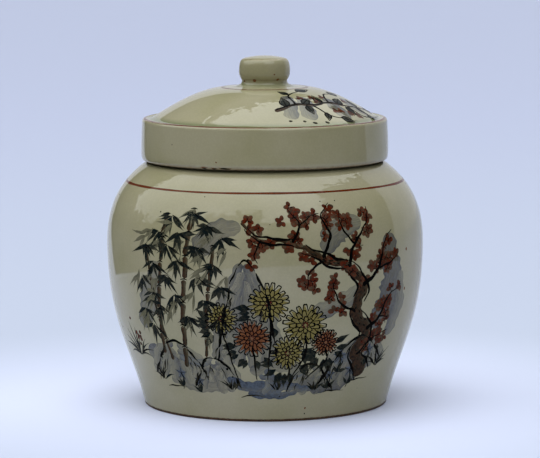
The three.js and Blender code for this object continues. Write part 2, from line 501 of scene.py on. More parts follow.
@dataclass(frozen=True)
class GlazeFinish:
    """The fired glaze and the clay that shows where there is none.

    Scales count waves or cells in a metre. A step is the low and the high end of a smooth step.
    """

    cream: Rgb = (163, 157, 130)
    olive: Rgb = (154, 149, 117)
    thin: Rgb = (122, 96, 66)
    pooled: Rgb = (104, 114, 80)
    speck: Rgb = (58, 38, 24)
    clay: Rgb = (92, 64, 42)
    clay_dark: Rgb = (30, 20, 14)
    roughness: float = 0.03
    clay_roughness: float = 0.85
    ior: float = 1.55
    cloud_scale: float = 28.0
    cloud_step: Point = (0.3, 0.7)
    grain_scale: float = 900.0
    grain_step: Point = (0.35, 0.75)
    grain_tone: Point = (0.97, 1.03)
    edge_scale: float = 420.0
    edge_share: float = 0.5
    thin_step: Point = (0.45, 1.15)
    pooled_share: float = 0.75
    speck_scale: float = 95.0
    speck_step: Point = (0.90, 1.0)
    speck_size: float = 0.075
    speck_share: float = 0.75
    speck_pit: float = -0.4
    swell_scale: float = 60.0
    bare_scale: float = 520.0
    bare_share: float = 0.6
    bare_step: Point = (0.72, 0.86)
    grit_scale: float = 1500.0
    grit_step: Point = (0.35, 0.65)
    grit_height: float = 0.5
    bump_strength: float = 0.05
    bump_distance: float = 0.0006

    def colour_group(self) -> bpy.types.NodeTree:
        """Glaze colour: cream clouded with olive, brown where thin, green where pooled, with iron specks. The same
        brown also paints shade under the knob's bulge, through the Thin input.

        Returns:
            A group that takes Thin, Pooled and Specks, and gives the colour and the height of its surface.
        """
        tree, graph = new_group(
            "glaze_colour", {"Thin": 0.0, "Pooled": 0.0, "Specks": 1.0}, {"Color": "Color", "Height": "Float"}
        )
        given = graph.node("NodeGroupInput").outputs
        place = graph.place()
        cloud = graph.ramp(graph.noise(place, self.cloud_scale, 4.0), *self.cloud_step)
        body = graph.mix(cloud, linear(self.cream), linear(self.olive))
        grain = graph.ramp(graph.noise(place, self.grain_scale), *self.grain_step, *self.grain_tone)
        body = graph.mix(1.0, body, graph.grey(grain), "MULTIPLY")
        edge = graph.math("MULTIPLY", graph.noise(place, self.edge_scale, 3.0), self.edge_share)
        thin = graph.ramp(graph.math("ADD", given["Thin"], edge), *self.thin_step)
        body = graph.mix(thin, body, linear(self.thin))
        body = graph.mix(graph.math("MULTIPLY", given["Pooled"], self.pooled_share, True), body, linear(self.pooled))
        cells = graph.node("TexVoronoi", {"Vector": place, "Scale": self.speck_scale}, feature="F1").outputs
        chosen = graph.node("SeparateColor", {0: cells["Color"]}).outputs[0]
        size = graph.math("MULTIPLY", graph.ramp(chosen, *self.speck_step), self.speck_size)
        dot = graph.math("LESS_THAN", cells["Distance"], size)
        share = graph.math("MULTIPLY", given["Specks"], self.speck_share)
        body = graph.mix(graph.math("MULTIPLY", dot, share, True), body, linear(self.speck))
        height = graph.math("ADD", graph.noise(place, self.swell_scale), graph.math("MULTIPLY", dot, self.speck_pit))
        graph.node("NodeGroupOutput", {"Color": body, "Height": height})
        return tree

    def bump(self, graph: Graph, height: bpy.types.NodeSocket) -> bpy.types.NodeSocket:
        """The normal of the glaze's slight unevenness."""
        inputs = {"Height": height, "Strength": self.bump_strength, "Distance": self.bump_distance}
        return graph.node("Bump", inputs).outputs[0]

    def material(self, name: str, colour: bpy.types.NodeTree) -> bpy.types.Material:
        """Glossy glaze that gives way to bare clay, by the piece's own thin, pooled and bare numbers.

        Args:
            name: the material's name.
            colour: the group that gives the glaze's colour and height.

        Returns:
            The material.
        """
        made, graph = new_material(name)
        read = {key: graph.node("Attribute", attribute_name=key).outputs["Fac"] for key in ("thin", "pooled", "bare")}
        place = graph.place()
        glaze = graph.group(colour, {"Thin": read["thin"], "Pooled": read["pooled"]}).outputs
        ragged = graph.math("MULTIPLY", graph.noise(place, self.bare_scale, 3.0), self.bare_share)
        bare = graph.ramp(graph.math("ADD", read["bare"], ragged), *self.bare_step)
        grit = graph.noise(place, self.grit_scale, 3.0)
        clay = graph.mix(graph.ramp(grit, *self.grit_step), linear(self.clay_dark), linear(self.clay))
        raised = graph.math("MULTIPLY", graph.math("MULTIPLY", grit, bare), self.grit_height)
        graph.finish({
            "Base Color": graph.mix(bare, glaze["Color"], clay),
            "Roughness": graph.ramp(bare, 0.0, 1.0, self.roughness, self.clay_roughness),
            "IOR": self.ior,
            "Normal": self.bump(graph, graph.math("ADD", glaze["Height"], raised)),
        })
        return made


class Pigment(Enum):
    """The brushed colours."""

    INK = "ink"
    TEAL = "teal"
    RUST = "rust"
    OCHRE = "ochre"
    SIENNA = "sienna"
    BROWN = "brown"
    GREY = "grey"
    BLUE = "blue"
    LINE = "line"


@dataclass(frozen=True)
class PigmentFinish:
    """One brushed colour, which lies on the glaze and shines less than it.

    Full and faint are the two tones that it is mottled with. Cover is the share of the glaze that a full
    load hides, streaks how far the hairs of the brush part it, lift its thickness in millimetres, and
    ior how much it shines. A step is the low and the high end of a smooth step.
    """

    full: Rgb
    faint: Rgb
    cover: float
    streaks: float
    lift: float
    ior: float
    hair_scale: tuple[float, float, float] = (0.12, 2.2, 1.0)
    hair_step: Point = (0.32, 0.68)
    dry_load: float = 1.25
    mottle_scale: float = 650.0
    mottle_step: Point = (0.25, 0.7)
    mottle_share: Point = (0.85, 1.15)
    tone_step: Point = (0.3, 0.7)
    build_up: float = 2.2

    def material(self, name: str, colour: bpy.types.NodeTree, glaze: GlazeFinish) -> bpy.types.Material:
        """The colour over the glaze's own, which shows where the load is light.

        The load is parted by hairs along the stroke, more where it is light, and mottled by noise. The
        share that is hidden is cover times (1 - (1 - load) to the power of build_up).

        Args:
            name: the material's name.
            colour: the group that gives the glaze's colour and height.
            glaze: the glaze, for its roughness and its unevenness.

        Returns:
            The material, which reads the load from the piece and the hairs from its brush map.
        """
        made, graph = new_material(name)
        load = graph.node("Attribute", attribute_name="load").outputs["Fac"]
        along = graph.node("UVMap", uv_map="brush").outputs[0]
        drawn = graph.node("Mapping", {"Vector": along, "Scale": self.hair_scale}).outputs[0]
        mottle = graph.noise(graph.place(), self.mottle_scale, 3.0, 0.6)
        parted = graph.math("MULTIPLY", graph.ramp(graph.noise(drawn, 1.0, 4.0, 0.6), *self.hair_step), self.streaks)
        dry = graph.math("MULTIPLY", parted, graph.math("SUBTRACT", self.dry_load, load))
        laid = graph.math("MULTIPLY", load, graph.math("SUBTRACT", 1.0, dry))
        laid = graph.math("MULTIPLY", laid, graph.ramp(mottle, *self.mottle_step, *self.mottle_share))
        clear = graph.math("SUBTRACT", 1.0, graph.math("MINIMUM", laid, 1.0))
        hidden = graph.math("SUBTRACT", 1.0, graph.math("POWER", clear, self.build_up))
        base = graph.group(colour, {"Specks": 0.0}).outputs
        tone = graph.mix(graph.ramp(mottle, *self.tone_step), linear(self.full), linear(self.faint))
        graph.finish({
            "Base Color": graph.mix(graph.math("MULTIPLY", hidden, self.cover, True), base["Color"], tone),
            "Roughness": glaze.roughness,
            "IOR": self.ior,
            "Normal": glaze.bump(graph, base["Height"]),
        })
        return made


PIGMENTS: dict[Pigment, PigmentFinish] = {
    Pigment.GREY: PigmentFinish((50, 52, 58), (80, 82, 86), 0.94, 0.65, 0.018, 1.45),
    Pigment.BLUE: PigmentFinish((28, 40, 62), (66, 80, 98), 0.94, 0.60, 0.024, 1.45),
    Pigment.OCHRE: PigmentFinish((102, 90, 26), (128, 116, 50), 0.96, 0.45, 0.030, 1.35),
    Pigment.SIENNA: PigmentFinish((92, 38, 4), (118, 60, 14), 0.97, 0.45, 0.036, 1.25),
    Pigment.BROWN: PigmentFinish((24, 16, 10), (62, 40, 24), 0.985, 0.35, 0.042, 1.15),
    Pigment.TEAL: PigmentFinish((0, 8, 12), (7, 21, 24), 0.995, 0.45, 0.050, 1.10),
    Pigment.RUST: PigmentFinish((27, 4, 0), (90, 28, 9), 0.99, 0.35, 0.056, 1.12),
    Pigment.INK: PigmentFinish((0, 0, 1), (4, 4, 5), 0.998, 0.25, 0.064, 1.06),
    Pigment.LINE: PigmentFinish((76, 19, 6), (102, 39, 18), 0.985, 0.20, 0.046, 1.22),
}


# Brushwork

class Canvas:
    """A surface that strokes are laid on."""

    def place(self, across: np.ndarray, up: np.ndarray, lift: float) -> np.ndarray:
        """Points of the surface for two coordinates in millimetres, raised by a coat's thickness."""
        raise NotImplementedError


class WallCanvas(Canvas):
    """A turned wall unrolled: across is the arc from the front at one radius, up the length along the profile."""

    def __init__(
        self, solid: Turned, wall: np.ndarray, round_at: float, base: float = 0.0, share: float = 1.0
    ) -> None:
        """Keeps the wall's profile, its length and its normals.

        Args:
            solid: the turned solid that the wall belongs to.
            wall: the wall's part of the profile.
            round_at: the radius that across is measured at.
            base: the length along the wall at which up is 0.
            share: how much of the wall's length a unit of up takes.
        """
        self.solid, self.wall = solid, wall
        self.round_at, self.base, self.share = round_at, base, share
        self.length = arc_length(wall)
        self.normal = -left_of(wall)

    def place(self, across: np.ndarray, up: np.ndarray, lift: float) -> np.ndarray:
        """Angle is across over round_at; radius and height follow from the length up the wall.

        Args:
            across: distances round the wall from its front.
            up: distances up the wall.
            lift: how far the points stand off the surface.

        Returns:
            The points, with x, y and z as the last axis.
        """
        angle = across / self.round_at
        up = self.base + self.share * up
        radius, height = (np.interp(up, self.length, self.wall[:, i]) for i in (0, 1))
        out_r, out_z = (np.interp(up, self.length, self.normal[:, i]) for i in (0, 1))
        return carried_round(angle, self.solid.swayed(angle, radius, height) + out_r * lift, height + out_z * lift)


class DomeCanvas(Canvas):
    """The lid's dome from above: across is X and up is Y, with the height from the dome's curve."""

    def __init__(self, solid: Turned, dome: np.ndarray) -> None:
        """Keeps the dome's curve in order of growing radius, and its normals.

        Args:
            solid: the turned solid that the dome belongs to.
            dome: the dome's part of the profile.
        """
        self.solid = solid
        self.dome = dome[np.argsort(dome[:, 0])]
        rise = np.gradient(self.dome[:, 1], self.dome[:, 0])
        tilt = np.hypot(1.0, rise)
        self.out_r, self.out_z = -rise / tilt, 1.0 / tilt

    def place(self, across: np.ndarray, up: np.ndarray, lift: float) -> np.ndarray:
        """The dome's points over (across, up), raised along its normal.

        Args:
            across: distances to the right of the axis.
            up: distances behind the axis.
            lift: how far the points stand off the surface.

        Returns:
            The points, with x, y and z as the last axis.
        """
        radius, angle = np.hypot(across, up), np.arctan2(across, -up)
        height, out_r, out_z = (
            np.interp(radius, self.dome[:, 0], values) for values in (self.dome[:, 1], self.out_r, self.out_z)
        )
        return carried_round(angle, self.solid.swayed(angle, radius, height) + out_r * lift, height + out_z * lift)


def flowing(points: Sequence[Point], step: float = 1.0) -> np.ndarray:
    """A Catmull-Rom curve: between two points a cubic that also heeds the point before and the one after.

    Args:
        points: given points that the curve passes through.
        step: about how far apart its points are.

    Returns:
        The curve's points.
    """
    p = np.asarray(points, float)
    p = np.vstack([2 * p[0] - p[1], p, 2 * p[-1] - p[-2]])
    runs = []
    for a, b, c, d in zip(p[:-3], p[1:-2], p[2:-1], p[3:]):
        count = max(2, math.ceil(np.linalg.norm(c - b) / step))
        t = np.linspace(0.0, 1.0, count, endpoint=False)[:, None]
        runs.append(
            0.5 * (2 * b + (c - a) * t + (2 * a - 5 * b + 4 * c - d) * t**2 + (3 * b - a - 3 * c + d) * t**3)
        )
    return np.vstack([*runs, p[-2:-1]])


@dataclass
class Painting:
    """Strokes on one canvas, gathered by colour, each a thin closed coat that follows the surface.

    A coat reaches down into the surface by sunk, and rises by one more overlap than the last, in turns of
    overlaps. Strokes narrower than fine_width take the finer step along their path.
    """

    canvas: Canvas
    body: str
    slot: str
    prefix: str
    random: np.random.Generator
    sunk: float = 0.03
    overlap: float = 0.0005
    overlaps: int = 12
    fine_width: float = 1.6
    fine_step: float = 0.45
    broad_step: float = 0.8
    column_width: float = 1.5
    least_width: float = 0.12
    ring_points: int = 480
    coats: dict[Pigment, list[dict]] = field(default_factory=dict)

    def stroke(
        self,
        pigment: Pigment,
        points: Sequence[Point] | np.ndarray,
        widths: tuple[float, float, float],
        belly: float = 0.4,
        load: tuple[float, float] = (1.0, 0.8),
        shake: float = 0.12,
        smooth_path: bool = True,
        lean: float = 0.0,
        rim: float = 0.0,
    ) -> None:
        """Lays one stroke: a strip square to the path, its width easing from start to belly to end.

        The ends are rounded by the circle's equation over half a width. Slow waves move the path and
        the width, as a hand does.

        Args:
            pigment: the colour.
            points: the path, in the canvas's coordinates.
            widths: width at the start, at its widest, and at the end.
            belly: where along the path the stroke is widest, from 0 to 1.
            load: how much colour is on the brush at the start and at the end.
            shake: how far the path wanders.
            smooth_path: whether the points are joined by a flowing curve first.
            lean: how much more colour lies on the path's left side than on its right.
            rim: how much more colour gathers at the strip's two edges.
        """
        step = self.fine_step if max(widths) < self.fine_width else self.broad_step
        path = flowing(points, step) if smooth_path else np.asarray(points, float)
        length = arc_length(path)
        total = length[-1]
        t = length / total
        rise, fall = t / max(belly, 1e-3), (t - belly) / max(1.0 - belly, 1e-3)
        width = widths[0] + (widths[1] - widths[0]) * smooth(rise)
        width = np.where(t > belly, widths[1] + (widths[2] - widths[1]) * smooth(fall), width)
        phase = self.random.uniform(0, ANY_PHASE, 4)
        width = width * (1 + 0.09 * np.sin(length / 2.3 + phase[0]) + 0.07 * np.sin(length / 0.9 + phase[1]))
        half = np.maximum(width / 2, 0.125)
        near_end = np.minimum(length, total - length)
        rounding = np.sqrt(np.clip(1 - (1 - np.minimum(near_end / half, 1.0)) ** 2, 0.03, 1.0))
        width = np.maximum(width, self.least_width) * rounding
        side = left_of(path)
        wander = shake * (np.sin(length / 3.1 + phase[2]) + 0.6 * np.sin(length / 1.3 + phase[3]))
        path = path + side * wander[:, None]

        cross = np.linspace(-0.5, 0.5, 2 + math.ceil(max(widths) / self.column_width))
        offset = cross[None, :] * width[:, None]
        grid = path[:, None, :] + side[:, None, :] * offset[..., None]
        edged = 1 + lean * 2 * cross + rim * smooth((np.abs(cross) - 0.34) / 0.14)
        given = (load[0] + (load[1] - load[0]) * t)[:, None] * edged[None, :]
        shift = self.random.uniform(0, 90.0, 2)
        brush = np.stack([np.broadcast_to(length[:, None], given.shape) + shift[0], offset + shift[1]], -1)
        self.coat(pigment, grid, given, brush)

    def coat(self, pigment: Pigment, grid: np.ndarray, load: np.ndarray, brush: np.ndarray) -> None:
        """Closes a grid of canvas points into a thin shell: its top, its underside and the rim between.

        The rim has points of its own, so the top's shading runs level to its edge. Each coat is a little
        higher than the one before, so that no two tops lie at one height where they cross.

        Args:
            pigment: the colour.
            grid: rows and columns of canvas points.
            load: how much colour lies at each of them.
            brush: for each of them, how far along and across the brush's path it is.
        """
        lift = PIGMENTS[pigment].lift + self.overlap * (len(self.coats.get(pigment, ())) % self.overlaps)
        rows, columns = grid.shape[:2]
        top, under = (
            self.canvas.place(grid[..., 0], grid[..., 1], level).reshape(-1, 3) for level in (lift, -self.sunk)
        )
        number = np.arange(rows * columns).reshape(rows, columns)
        upper = np.stack([number[:-1, :-1], number[1:, :-1], number[1:, 1:], number[:-1, 1:]], axis=-1).reshape(-1, 4)
        lower = upper[:, ::-1] + rows * columns
        rim = np.concatenate([number[:, 0], number[-1, 1:], number[-2::-1, -1], number[0, -2:0:-1]])
        here = 2 * rows * columns + np.arange(len(rim))
        after = np.roll(here, -1)
        given, hairs = load.ravel(), brush.reshape(-1, 2)
        self.coats.setdefault(pigment, []).append({
            "vertices": np.vstack([top, under, top[rim], under[rim]]),
            "faces": np.vstack([upper, lower]),
            "sides": np.stack([here, here + len(rim), after + len(rim), after], axis=-1),
            "load": np.concatenate([given, given, given[rim], given[rim]]),
            "brush": np.vstack([hairs, hairs, hairs[rim], hairs[rim]]),
        })

    def dab(self, pigment: Pigment, at: Point, size: float, turn: float, stretch: float = 1.15) -> None:
        """A single press of the brush: a short fat stroke.

        Args:
            pigment: the colour.
            at: its middle.
            size: its width.
            turn: the angle that it points at, in radians.
            stretch: its length over its width.
        """
        step = pointing(turn) * (size * stretch / 2)
        path = np.linspace(np.asarray(at) - step, np.asarray(at) + step, 9)
        load = self.random.uniform(0.75, 1.0)
        self.stroke(pigment, path, (size * 0.8, size, size * 0.7), 0.45, (load, load * 0.8), 0.03, smooth_path=False)

    def leaf(
        self,
        pigment: Pigment,
        at: Point,
        turn: float,
        length: float,
        width: float,
        bend: float = 0.0,
        load: float = 0.9,
    ) -> None:
        """A pointed leaf: thin where the brush lands, pressed wide, then lifted to a point.

        Args:
            pigment: the colour.
            at: where it starts.
            turn: the angle that it starts out at, in radians.
            length: how long it is.
            width: how wide it is at its widest.
            bend: how far it turns from its start to its tip, in radians.
            load: how much colour is on the brush.
        """
        angle = turn + bend * np.linspace(0.0, 1.0, 13)
        step = np.column_stack([np.cos(angle), np.sin(angle)]) * (length / 12)
        path = np.asarray(at) + np.vstack([[0, 0], np.cumsum(step[1:], axis=0)])
        load = load * self.random.uniform(0.85, 1.0)
        self.stroke(pigment, path, (width * 0.25, width, 0.12), 0.35, (load, load * 0.8), 0.03, smooth_path=False)

    def ring(self, pigment: Pigment, up: float, width: float, round_at: float, load: float) -> None:
        """A line held against the turning pot: a closed band whose edges waver a little.

        Args:
            pigment: the colour.
            up: how far up the canvas it runs.
            width: how wide it is.
            round_at: the radius that the canvas measures across at.
            load: how much colour is on the brush.
        """
        angle = np.linspace(0.0, 2 * math.pi, self.ring_points + 1)
        wave = 0.10 * np.sin(3 * angle + 0.4) + 0.06 * np.sin(7 * angle + 2.0)
        fat = width * (1 + 0.12 * np.sin(5 * angle + 1.0) + 0.08 * np.sin(23 * angle))
        cross = np.array([-0.5, 0.0, 0.5])
        across = np.broadcast_to((angle * round_at)[:, None], (len(angle), len(cross)))
        height = up + wave[:, None] + cross[None, :] * fat[:, None]
        given = np.broadcast_to((load * (0.9 + 0.1 * np.sin(2 * angle + 0.5)))[:, None], across.shape)
        brush = np.stack([across, np.broadcast_to(cross[None, :] * width, across.shape)], -1)
        self.coat(pigment, np.stack([across, height], -1), given, brush)

    def build(self, materials: dict[Pigment, bpy.types.Material]) -> list[bpy.types.Object]:
        """One piece for each colour used, riding with the body that it is painted on.

        Args:
            materials: the material of each colour.

        Returns:
            The pieces.
        """
        made = []
        for pigment, entries in self.coats.items():
            starts = np.cumsum([0] + [len(e["vertices"]) for e in entries[:-1]])
            faces, sides = (np.vstack([e[key] + s for e, s in zip(entries, starts)]) for key in ("faces", "sides"))
            vertices, brush = (np.vstack([e[key] for e in entries]) for key in ("vertices", "brush"))
            piece = make_mesh(f"{self.prefix}_{pigment.value}", vertices, [faces, sides], flat=len(sides))
            paint_attribute(piece, "load", np.concatenate([e["load"] for e in entries]))
            corners = np.concatenate([faces.ravel(), sides.ravel()])
            layer = piece.data.uv_layers.new(name="brush")
            layer.data.foreach_set("uv", brush[corners].astype(np.float32).ravel())
            piece.data.materials.append(materials[pigment])
            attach(piece, self.body)
            made.append(piece)
        return made


# The jar

@dataclass
class JarBody:
    """The jar with its foot, wall, neck and inside, and what is brushed on it.

    The painted scene starts at scene_base up the wall and is scaled by scene_share. The heights, reaches
    and bands at the end say where the glaze is bare, thin or pooled.
    """

    glaze: bpy.types.Material
    line_height: float = 132.2
    line_width: float = 1.3
    scene_base: float = 10.5
    scene_share: float = 0.95
    sizes: JarSizes = JarSizes()
    segments: int = 336
    foot_bare_height: float = 0.95
    foot_bare_reach: float = 3.5
    rim_bare_depth: float = 0.9
    foot_thin: Band = Band(0.6, 1.2, 1.6)
    rim_thin: Band = Band(0.55, 0.0, 3.0)
    ledge_pooled: Band = Band(0.5, 0.0, 1.2)
    ledge_width: float = 5.0

    def profile(self) -> tuple[np.ndarray, dict[str, np.ndarray]]:
        """The closed section: foot, wall, neck, throat, inner wall and floor, one after the other.

        Returns:
            The section's points, and how bare, thin and pooled the glaze is at each of them.
        """
        s = self.sizes
        recess = s.foot_radius - s.foot_ring_width
        hollow = recess - s.foot_recess_depth
        tread = s.foot_radius - s.foot_rounding
        bore = s.neck_radius - s.neck_wall
        outer = s.outer_wall()
        bend = s.shoulder_radius - s.ledge_rise / s.shoulder_slope
        ledge, rim = s.ledge_height, s.rim_height
        ledge_end = s.neck_radius + s.neck_fillet
        middle = (bend + ledge_end) / 2
        neck_foot, neck_top = ledge + s.neck_fillet, rim - s.rim_rounding
        lip_outer, lip_inner = s.neck_radius - s.rim_rounding, bore + s.rim_rounding
        under = chain(
            straight((0.0, s.foot_recess_depth), (hollow, s.foot_recess_depth), 14),
            bezier([(hollow, s.foot_recess_depth), (recess, s.foot_recess_depth), (recess, 0.0)], 9),
            straight((recess, 0.0), (tread, 0.0), 6),
            bezier([(tread, 0.0), (s.foot_radius, 0.0), (s.foot_radius, s.foot_rounding)], 6),
        )
        neck = chain(
            bezier([(s.shoulder_radius, s.shoulder_height), (bend, ledge), (middle, ledge)], 7),
            straight((middle, ledge), (ledge_end, ledge), 4),
            bezier([(ledge_end, ledge), (s.neck_radius, ledge), (s.neck_radius, neck_foot)], 6),
            straight((s.neck_radius, neck_foot), (s.neck_radius, neck_top), 8),
            bezier([(s.neck_radius, neck_top), (s.neck_radius, rim), (lip_outer, rim)], 6),
            straight((lip_outer, rim), (lip_inner, rim), 4),
            bezier([(lip_inner, rim), (bore, rim), (bore, neck_top)], 6),
        )
        ceiling = ledge - s.wall
        throat = chain(
            straight((bore, neck_top), (bore, ceiling + s.throat_rounding), 8),
            bezier([(bore, ceiling + s.throat_rounding), (bore, ceiling), (bore + s.throat_rounding, ceiling)], 7),
        )
        inner = inside_of(outer, s.wall)[::-1][2::3]
        inner = inner[inner[:, 1] > s.floor_thickness + s.floor_rounding]
        foot = inner[-1]
        edge = (foot[0] - s.floor_rounding, s.floor_thickness)
        floor = chain(
            bezier([tuple(foot), (foot[0] - s.flare_slope * s.floor_rounding, s.floor_thickness), edge], 8),
            straight(edge, (0.0, s.floor_thickness), 10),
        )
        points = chain(under, outer, neck, throat, inner, floor)
        radius, height = points[:, 0], points[:, 1]
        outside = np.arange(len(points)) < len(under) + len(outer) + len(neck) - 4
        foot_band = outside & (height < self.foot_bare_height) & (radius > recess - self.foot_bare_reach)
        rim_band = height > rim - self.rim_bare_depth
        bare = np.where(foot_band, 1.0, 0.0) + np.where(rim_band, 1.0, 0.0)
        thin = self.foot_thin.beside(height, 0.0) * outside * (radius > recess) + self.rim_thin.beside(height, rim)
        pooled = self.ledge_pooled.beside(height, ledge) * (radius < s.neck_radius + self.ledge_width)
        return points, {"bare": bare, "thin": np.clip(thin, 0, 1), "pooled": pooled}

    def build(self, pigments: dict[Pigment, bpy.types.Material]) -> list[bpy.types.Object]:
        """The glazed jar, its marks and its painting.

        Args:
            pigments: the material of each brushed colour.

        Returns:
            The pieces.
        """
        points, states = self.profile()
        solid = Turned("glazed_jar", points, self.segments)
        piece = glazed(solid, states, self.glaze)
        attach(piece, "jar")
        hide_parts("jar_body")
        wall, belly = self.sizes.outer_wall(), self.sizes.belly_radius
        marks = Painting(WallCanvas(solid, wall, belly), "jar", "body_glaze", "jar_marks", np.random.default_rng(40))
        self.shoulder_line(marks)
        self.specks(marks)
        canvas = WallCanvas(solid, wall, belly, self.scene_base, self.scene_share)
        painting = Painting(canvas, "jar", "body_glaze", "jar_painting", np.random.default_rng(41))
        GardenScene(painting).lay()
        return [piece, *marks.build(pigments), *painting.build(pigments)]

    def shoulder_line(self, painting: Painting) -> None:
        """The thin red-brown line round the shoulder.

        Args:
            painting: what it is laid on.
        """
        wall = self.sizes.outer_wall()
        up = float(np.interp(self.line_height, wall[:, 1], arc_length(wall)))
        painting.ring(Pigment.LINE, up, self.line_width, self.sizes.belly_radius, 1.0)

    def specks(self, painting: Painting) -> None:
        """Iron spots in the glaze, listed in millimetres across and up the wall, with their size.

        Args:
            painting: what they are laid on.
        """
        dark = (
            (-68, 123, 1.0), (-65, 122, 1.2), (-41, 123, 0.8), (-39, 134, 0.7), (35, 131, 0.8), (45, 131, 0.8),
            (3, 118, 0.6), (-128, 128, 1.0), (-118, 50, 0.9), (10, 15, 1.1), (84, 50, 0.8), (29, 3.5, 0.9),
        )
        brown = ((99, 98, 1.7), (125, 88, 1.3), (99, 75, 1.6), (135, 134, 1.2), (29, 7, 1.2), (61, 111, 1.0))
        for pigment, spots, stretch in ((Pigment.INK, dark, 1.0), (Pigment.SIENNA, brown, 1.2)):
            for across, up, size in spots:
                painting.dab(pigment, (across, up), size, across, stretch)


@dataclass
class GardenScene:
    """A generic brushed garden: bamboo, a standing rock, chrysanthemums, bellflowers and an old plum in blossom."""

    painting: Painting

    def lay(self) -> None:
        """All motifs, those that lie behind first."""
        self.washes()
        self.rocks()
        self.bamboo()
        self.chrysanthemums()
        self.bellflowers()
        self.plum()
        self.grass()

    def washes(self) -> None:
        """Broad grey and blue strokes of a wet brush, darker along one side and at their edges."""
        p, rng = self.painting, self.painting.random
        greys = [
            ([(-86, 32), (-66, 24), (-46, 20), (-24, 24)], 15.0, 0.75), ([(-70, 14), (-44, 10), (-18, 13)], 8.0, 0.5),
            ([(-84, 46), (-76, 64), (-66, 88)], 14.0, 0.55), ([(-40, 94), (-30, 107), (-14, 112)], 15.0, 0.55),
            ([(22, 14), (44, 12), (66, 20), (84, 34)], 13.0, 0.7), ([(72, 46), (84, 72), (80, 104)], 19.0, 0.85),
            ([(86, 40), (93, 58), (92, 80)], 12.0, 0.65), ([(34, 96), (44, 109), (60, 113)], 15.0, 0.6),
            ([(28, 60), (44, 64), (58, 74)], 12.0, 0.5), ([(-10, 22), (8, 26), (24, 22)], 9.0, 0.55),
        ]
        for path, width, load in greys:
            lean = rng.uniform(-0.5, 0.5)
            p.stroke(Pigment.GREY, path, (width * 0.75, width, width * 0.6), 0.45, (load, load * 0.75), 0.5,
                     lean=lean, rim=0.3)
        for path, width, load in (
            ([(-26, 16), (-8, 11), (12, 12), (30, 9)], 8.5, 1.0), ([(-12, 7), (4, 5.5), (22, 7)], 5.5, 1.0),
            ([(-4, 19), (10, 17), (26, 20)], 5.0, 0.7), ([(46, 26), (60, 30), (76, 40)], 6.0, 0.7),
            ([(-58, 30), (-46, 26), (-34, 30)], 5.5, 0.6), ([(2, 24), (3, 15), (-1, 6)], 7.0, 0.75),
        ):
            p.stroke(Pigment.BLUE, path, (width * 0.7, width, width * 0.5), 0.5, (load, load * 0.7), 0.4,
                     lean=rng.uniform(-0.4, 0.4), rim=0.25)

    def rocks(self) -> None:
        """Garden rocks: grey strokes that fan down from the peak, a broken ink contour, cracks and moss."""
        p, rng = self.painting, self.painting.random
        rocks = [
            ((-12, 92), [(-30, 28), (-27, 46), (-22, 66), (-19, 80)], [(8, 26), (5, 44), (3, 62), (-3, 80)], 11.0,
             0.78),
            ((-60, 40), [(-84, 16), (-76, 26), (-68, 36)], [(-38, 14), (-44, 26), (-52, 36)], 9.0, 0.72),
            ((-34, 30), [(-50, 10), (-44, 20), (-40, 28)], [(-16, 9), (-20, 18), (-28, 28)], 8.0, 0.66),
            ((62, 42), [(36, 12), (44, 24), (52, 36)], [(88, 22), (80, 32), (70, 40)], 10.0, 0.76),
            ((30, 26), [(14, 8), (18, 16), (24, 24)], [(48, 8), (42, 16), (36, 24)], 7.5, 0.7),
        ]
        for peak, left, right, width, load in rocks:
            for side, run in ((-1, left), (1, right)):
                foot = run[0]
                for k in range(3):
                    share = 1.0 - 0.36 * k
                    end = (peak[0] + (foot[0] - peak[0]) * share, foot[1] - 1.5 * k)
                    middle = ((peak[0] + end[0]) / 2 + side * (2.4 - k), (peak[1] + end[1]) / 2 + 3.0)
                    top = (peak[0] + side * (1.5 - 0.6 * k), peak[1] - 5.0 * k - 2.0)
                    strength = load * rng.uniform(0.62, 1.0)
                    p.stroke(Pigment.GREY, [top, middle, end], (width * 0.5, width, width * 0.8), 0.55,
                             (strength, strength * 0.75), 0.4, lean=-0.45 * side, rim=0.35)
            contour = [*left, peak, *right[::-1]]
            self.contour(contour, 2.0)
            for k in range(9):
                share = rng.uniform(0.12, 0.9)
                start = np.array(peak) + (np.array(right[0] if k % 2 else left[0]) - peak) * share
                start = start + rng.normal(0, 1.6, 2)
                slope = np.array([0.35 if k % 2 else -0.35, -1.0]) * rng.uniform(4.0, 8.0)
                p.stroke(Pigment.INK, [start, start + slope * 0.5 + rng.normal(0, 0.5, 2), start + slope],
                         (0.3, rng.uniform(0.7, 1.3), 0.25), 0.3, (0.9, 0.5), 0.2)
            line = flowing(contour, 1.0)
            for k in range(12):
                at = line[int(rng.uniform(0.05, 0.95) * (len(line) - 1))] + rng.normal(0, 0.8, 2)
                pigment = Pigment.TEAL if k % 3 else Pigment.INK
                p.dab(pigment, tuple(at), rng.uniform(1.1, 2.0), rng.uniform(0, 3.1), 1.0)

    def contour(self, points: Sequence[Point], width: float) -> None:
        """An ink line in pieces of uneven length that swell and thin out.

        Args:
            points: given points along the line.
            width: the line's greatest width.
        """
        p, rng = self.painting, self.painting.random
        line = flowing(points, 1.0)
        start = 0
        while start < len(line) - 4:
            end = min(start + int(rng.uniform(9, 22)), len(line))
            thick = width * rng.uniform(0.6, 1.15)
            p.stroke(Pigment.INK, line[start:end:2], (thick * 0.5, thick, 0.35), 0.35, (1.0, 0.8), 0.3)
            start = end - int(rng.uniform(0, 3))

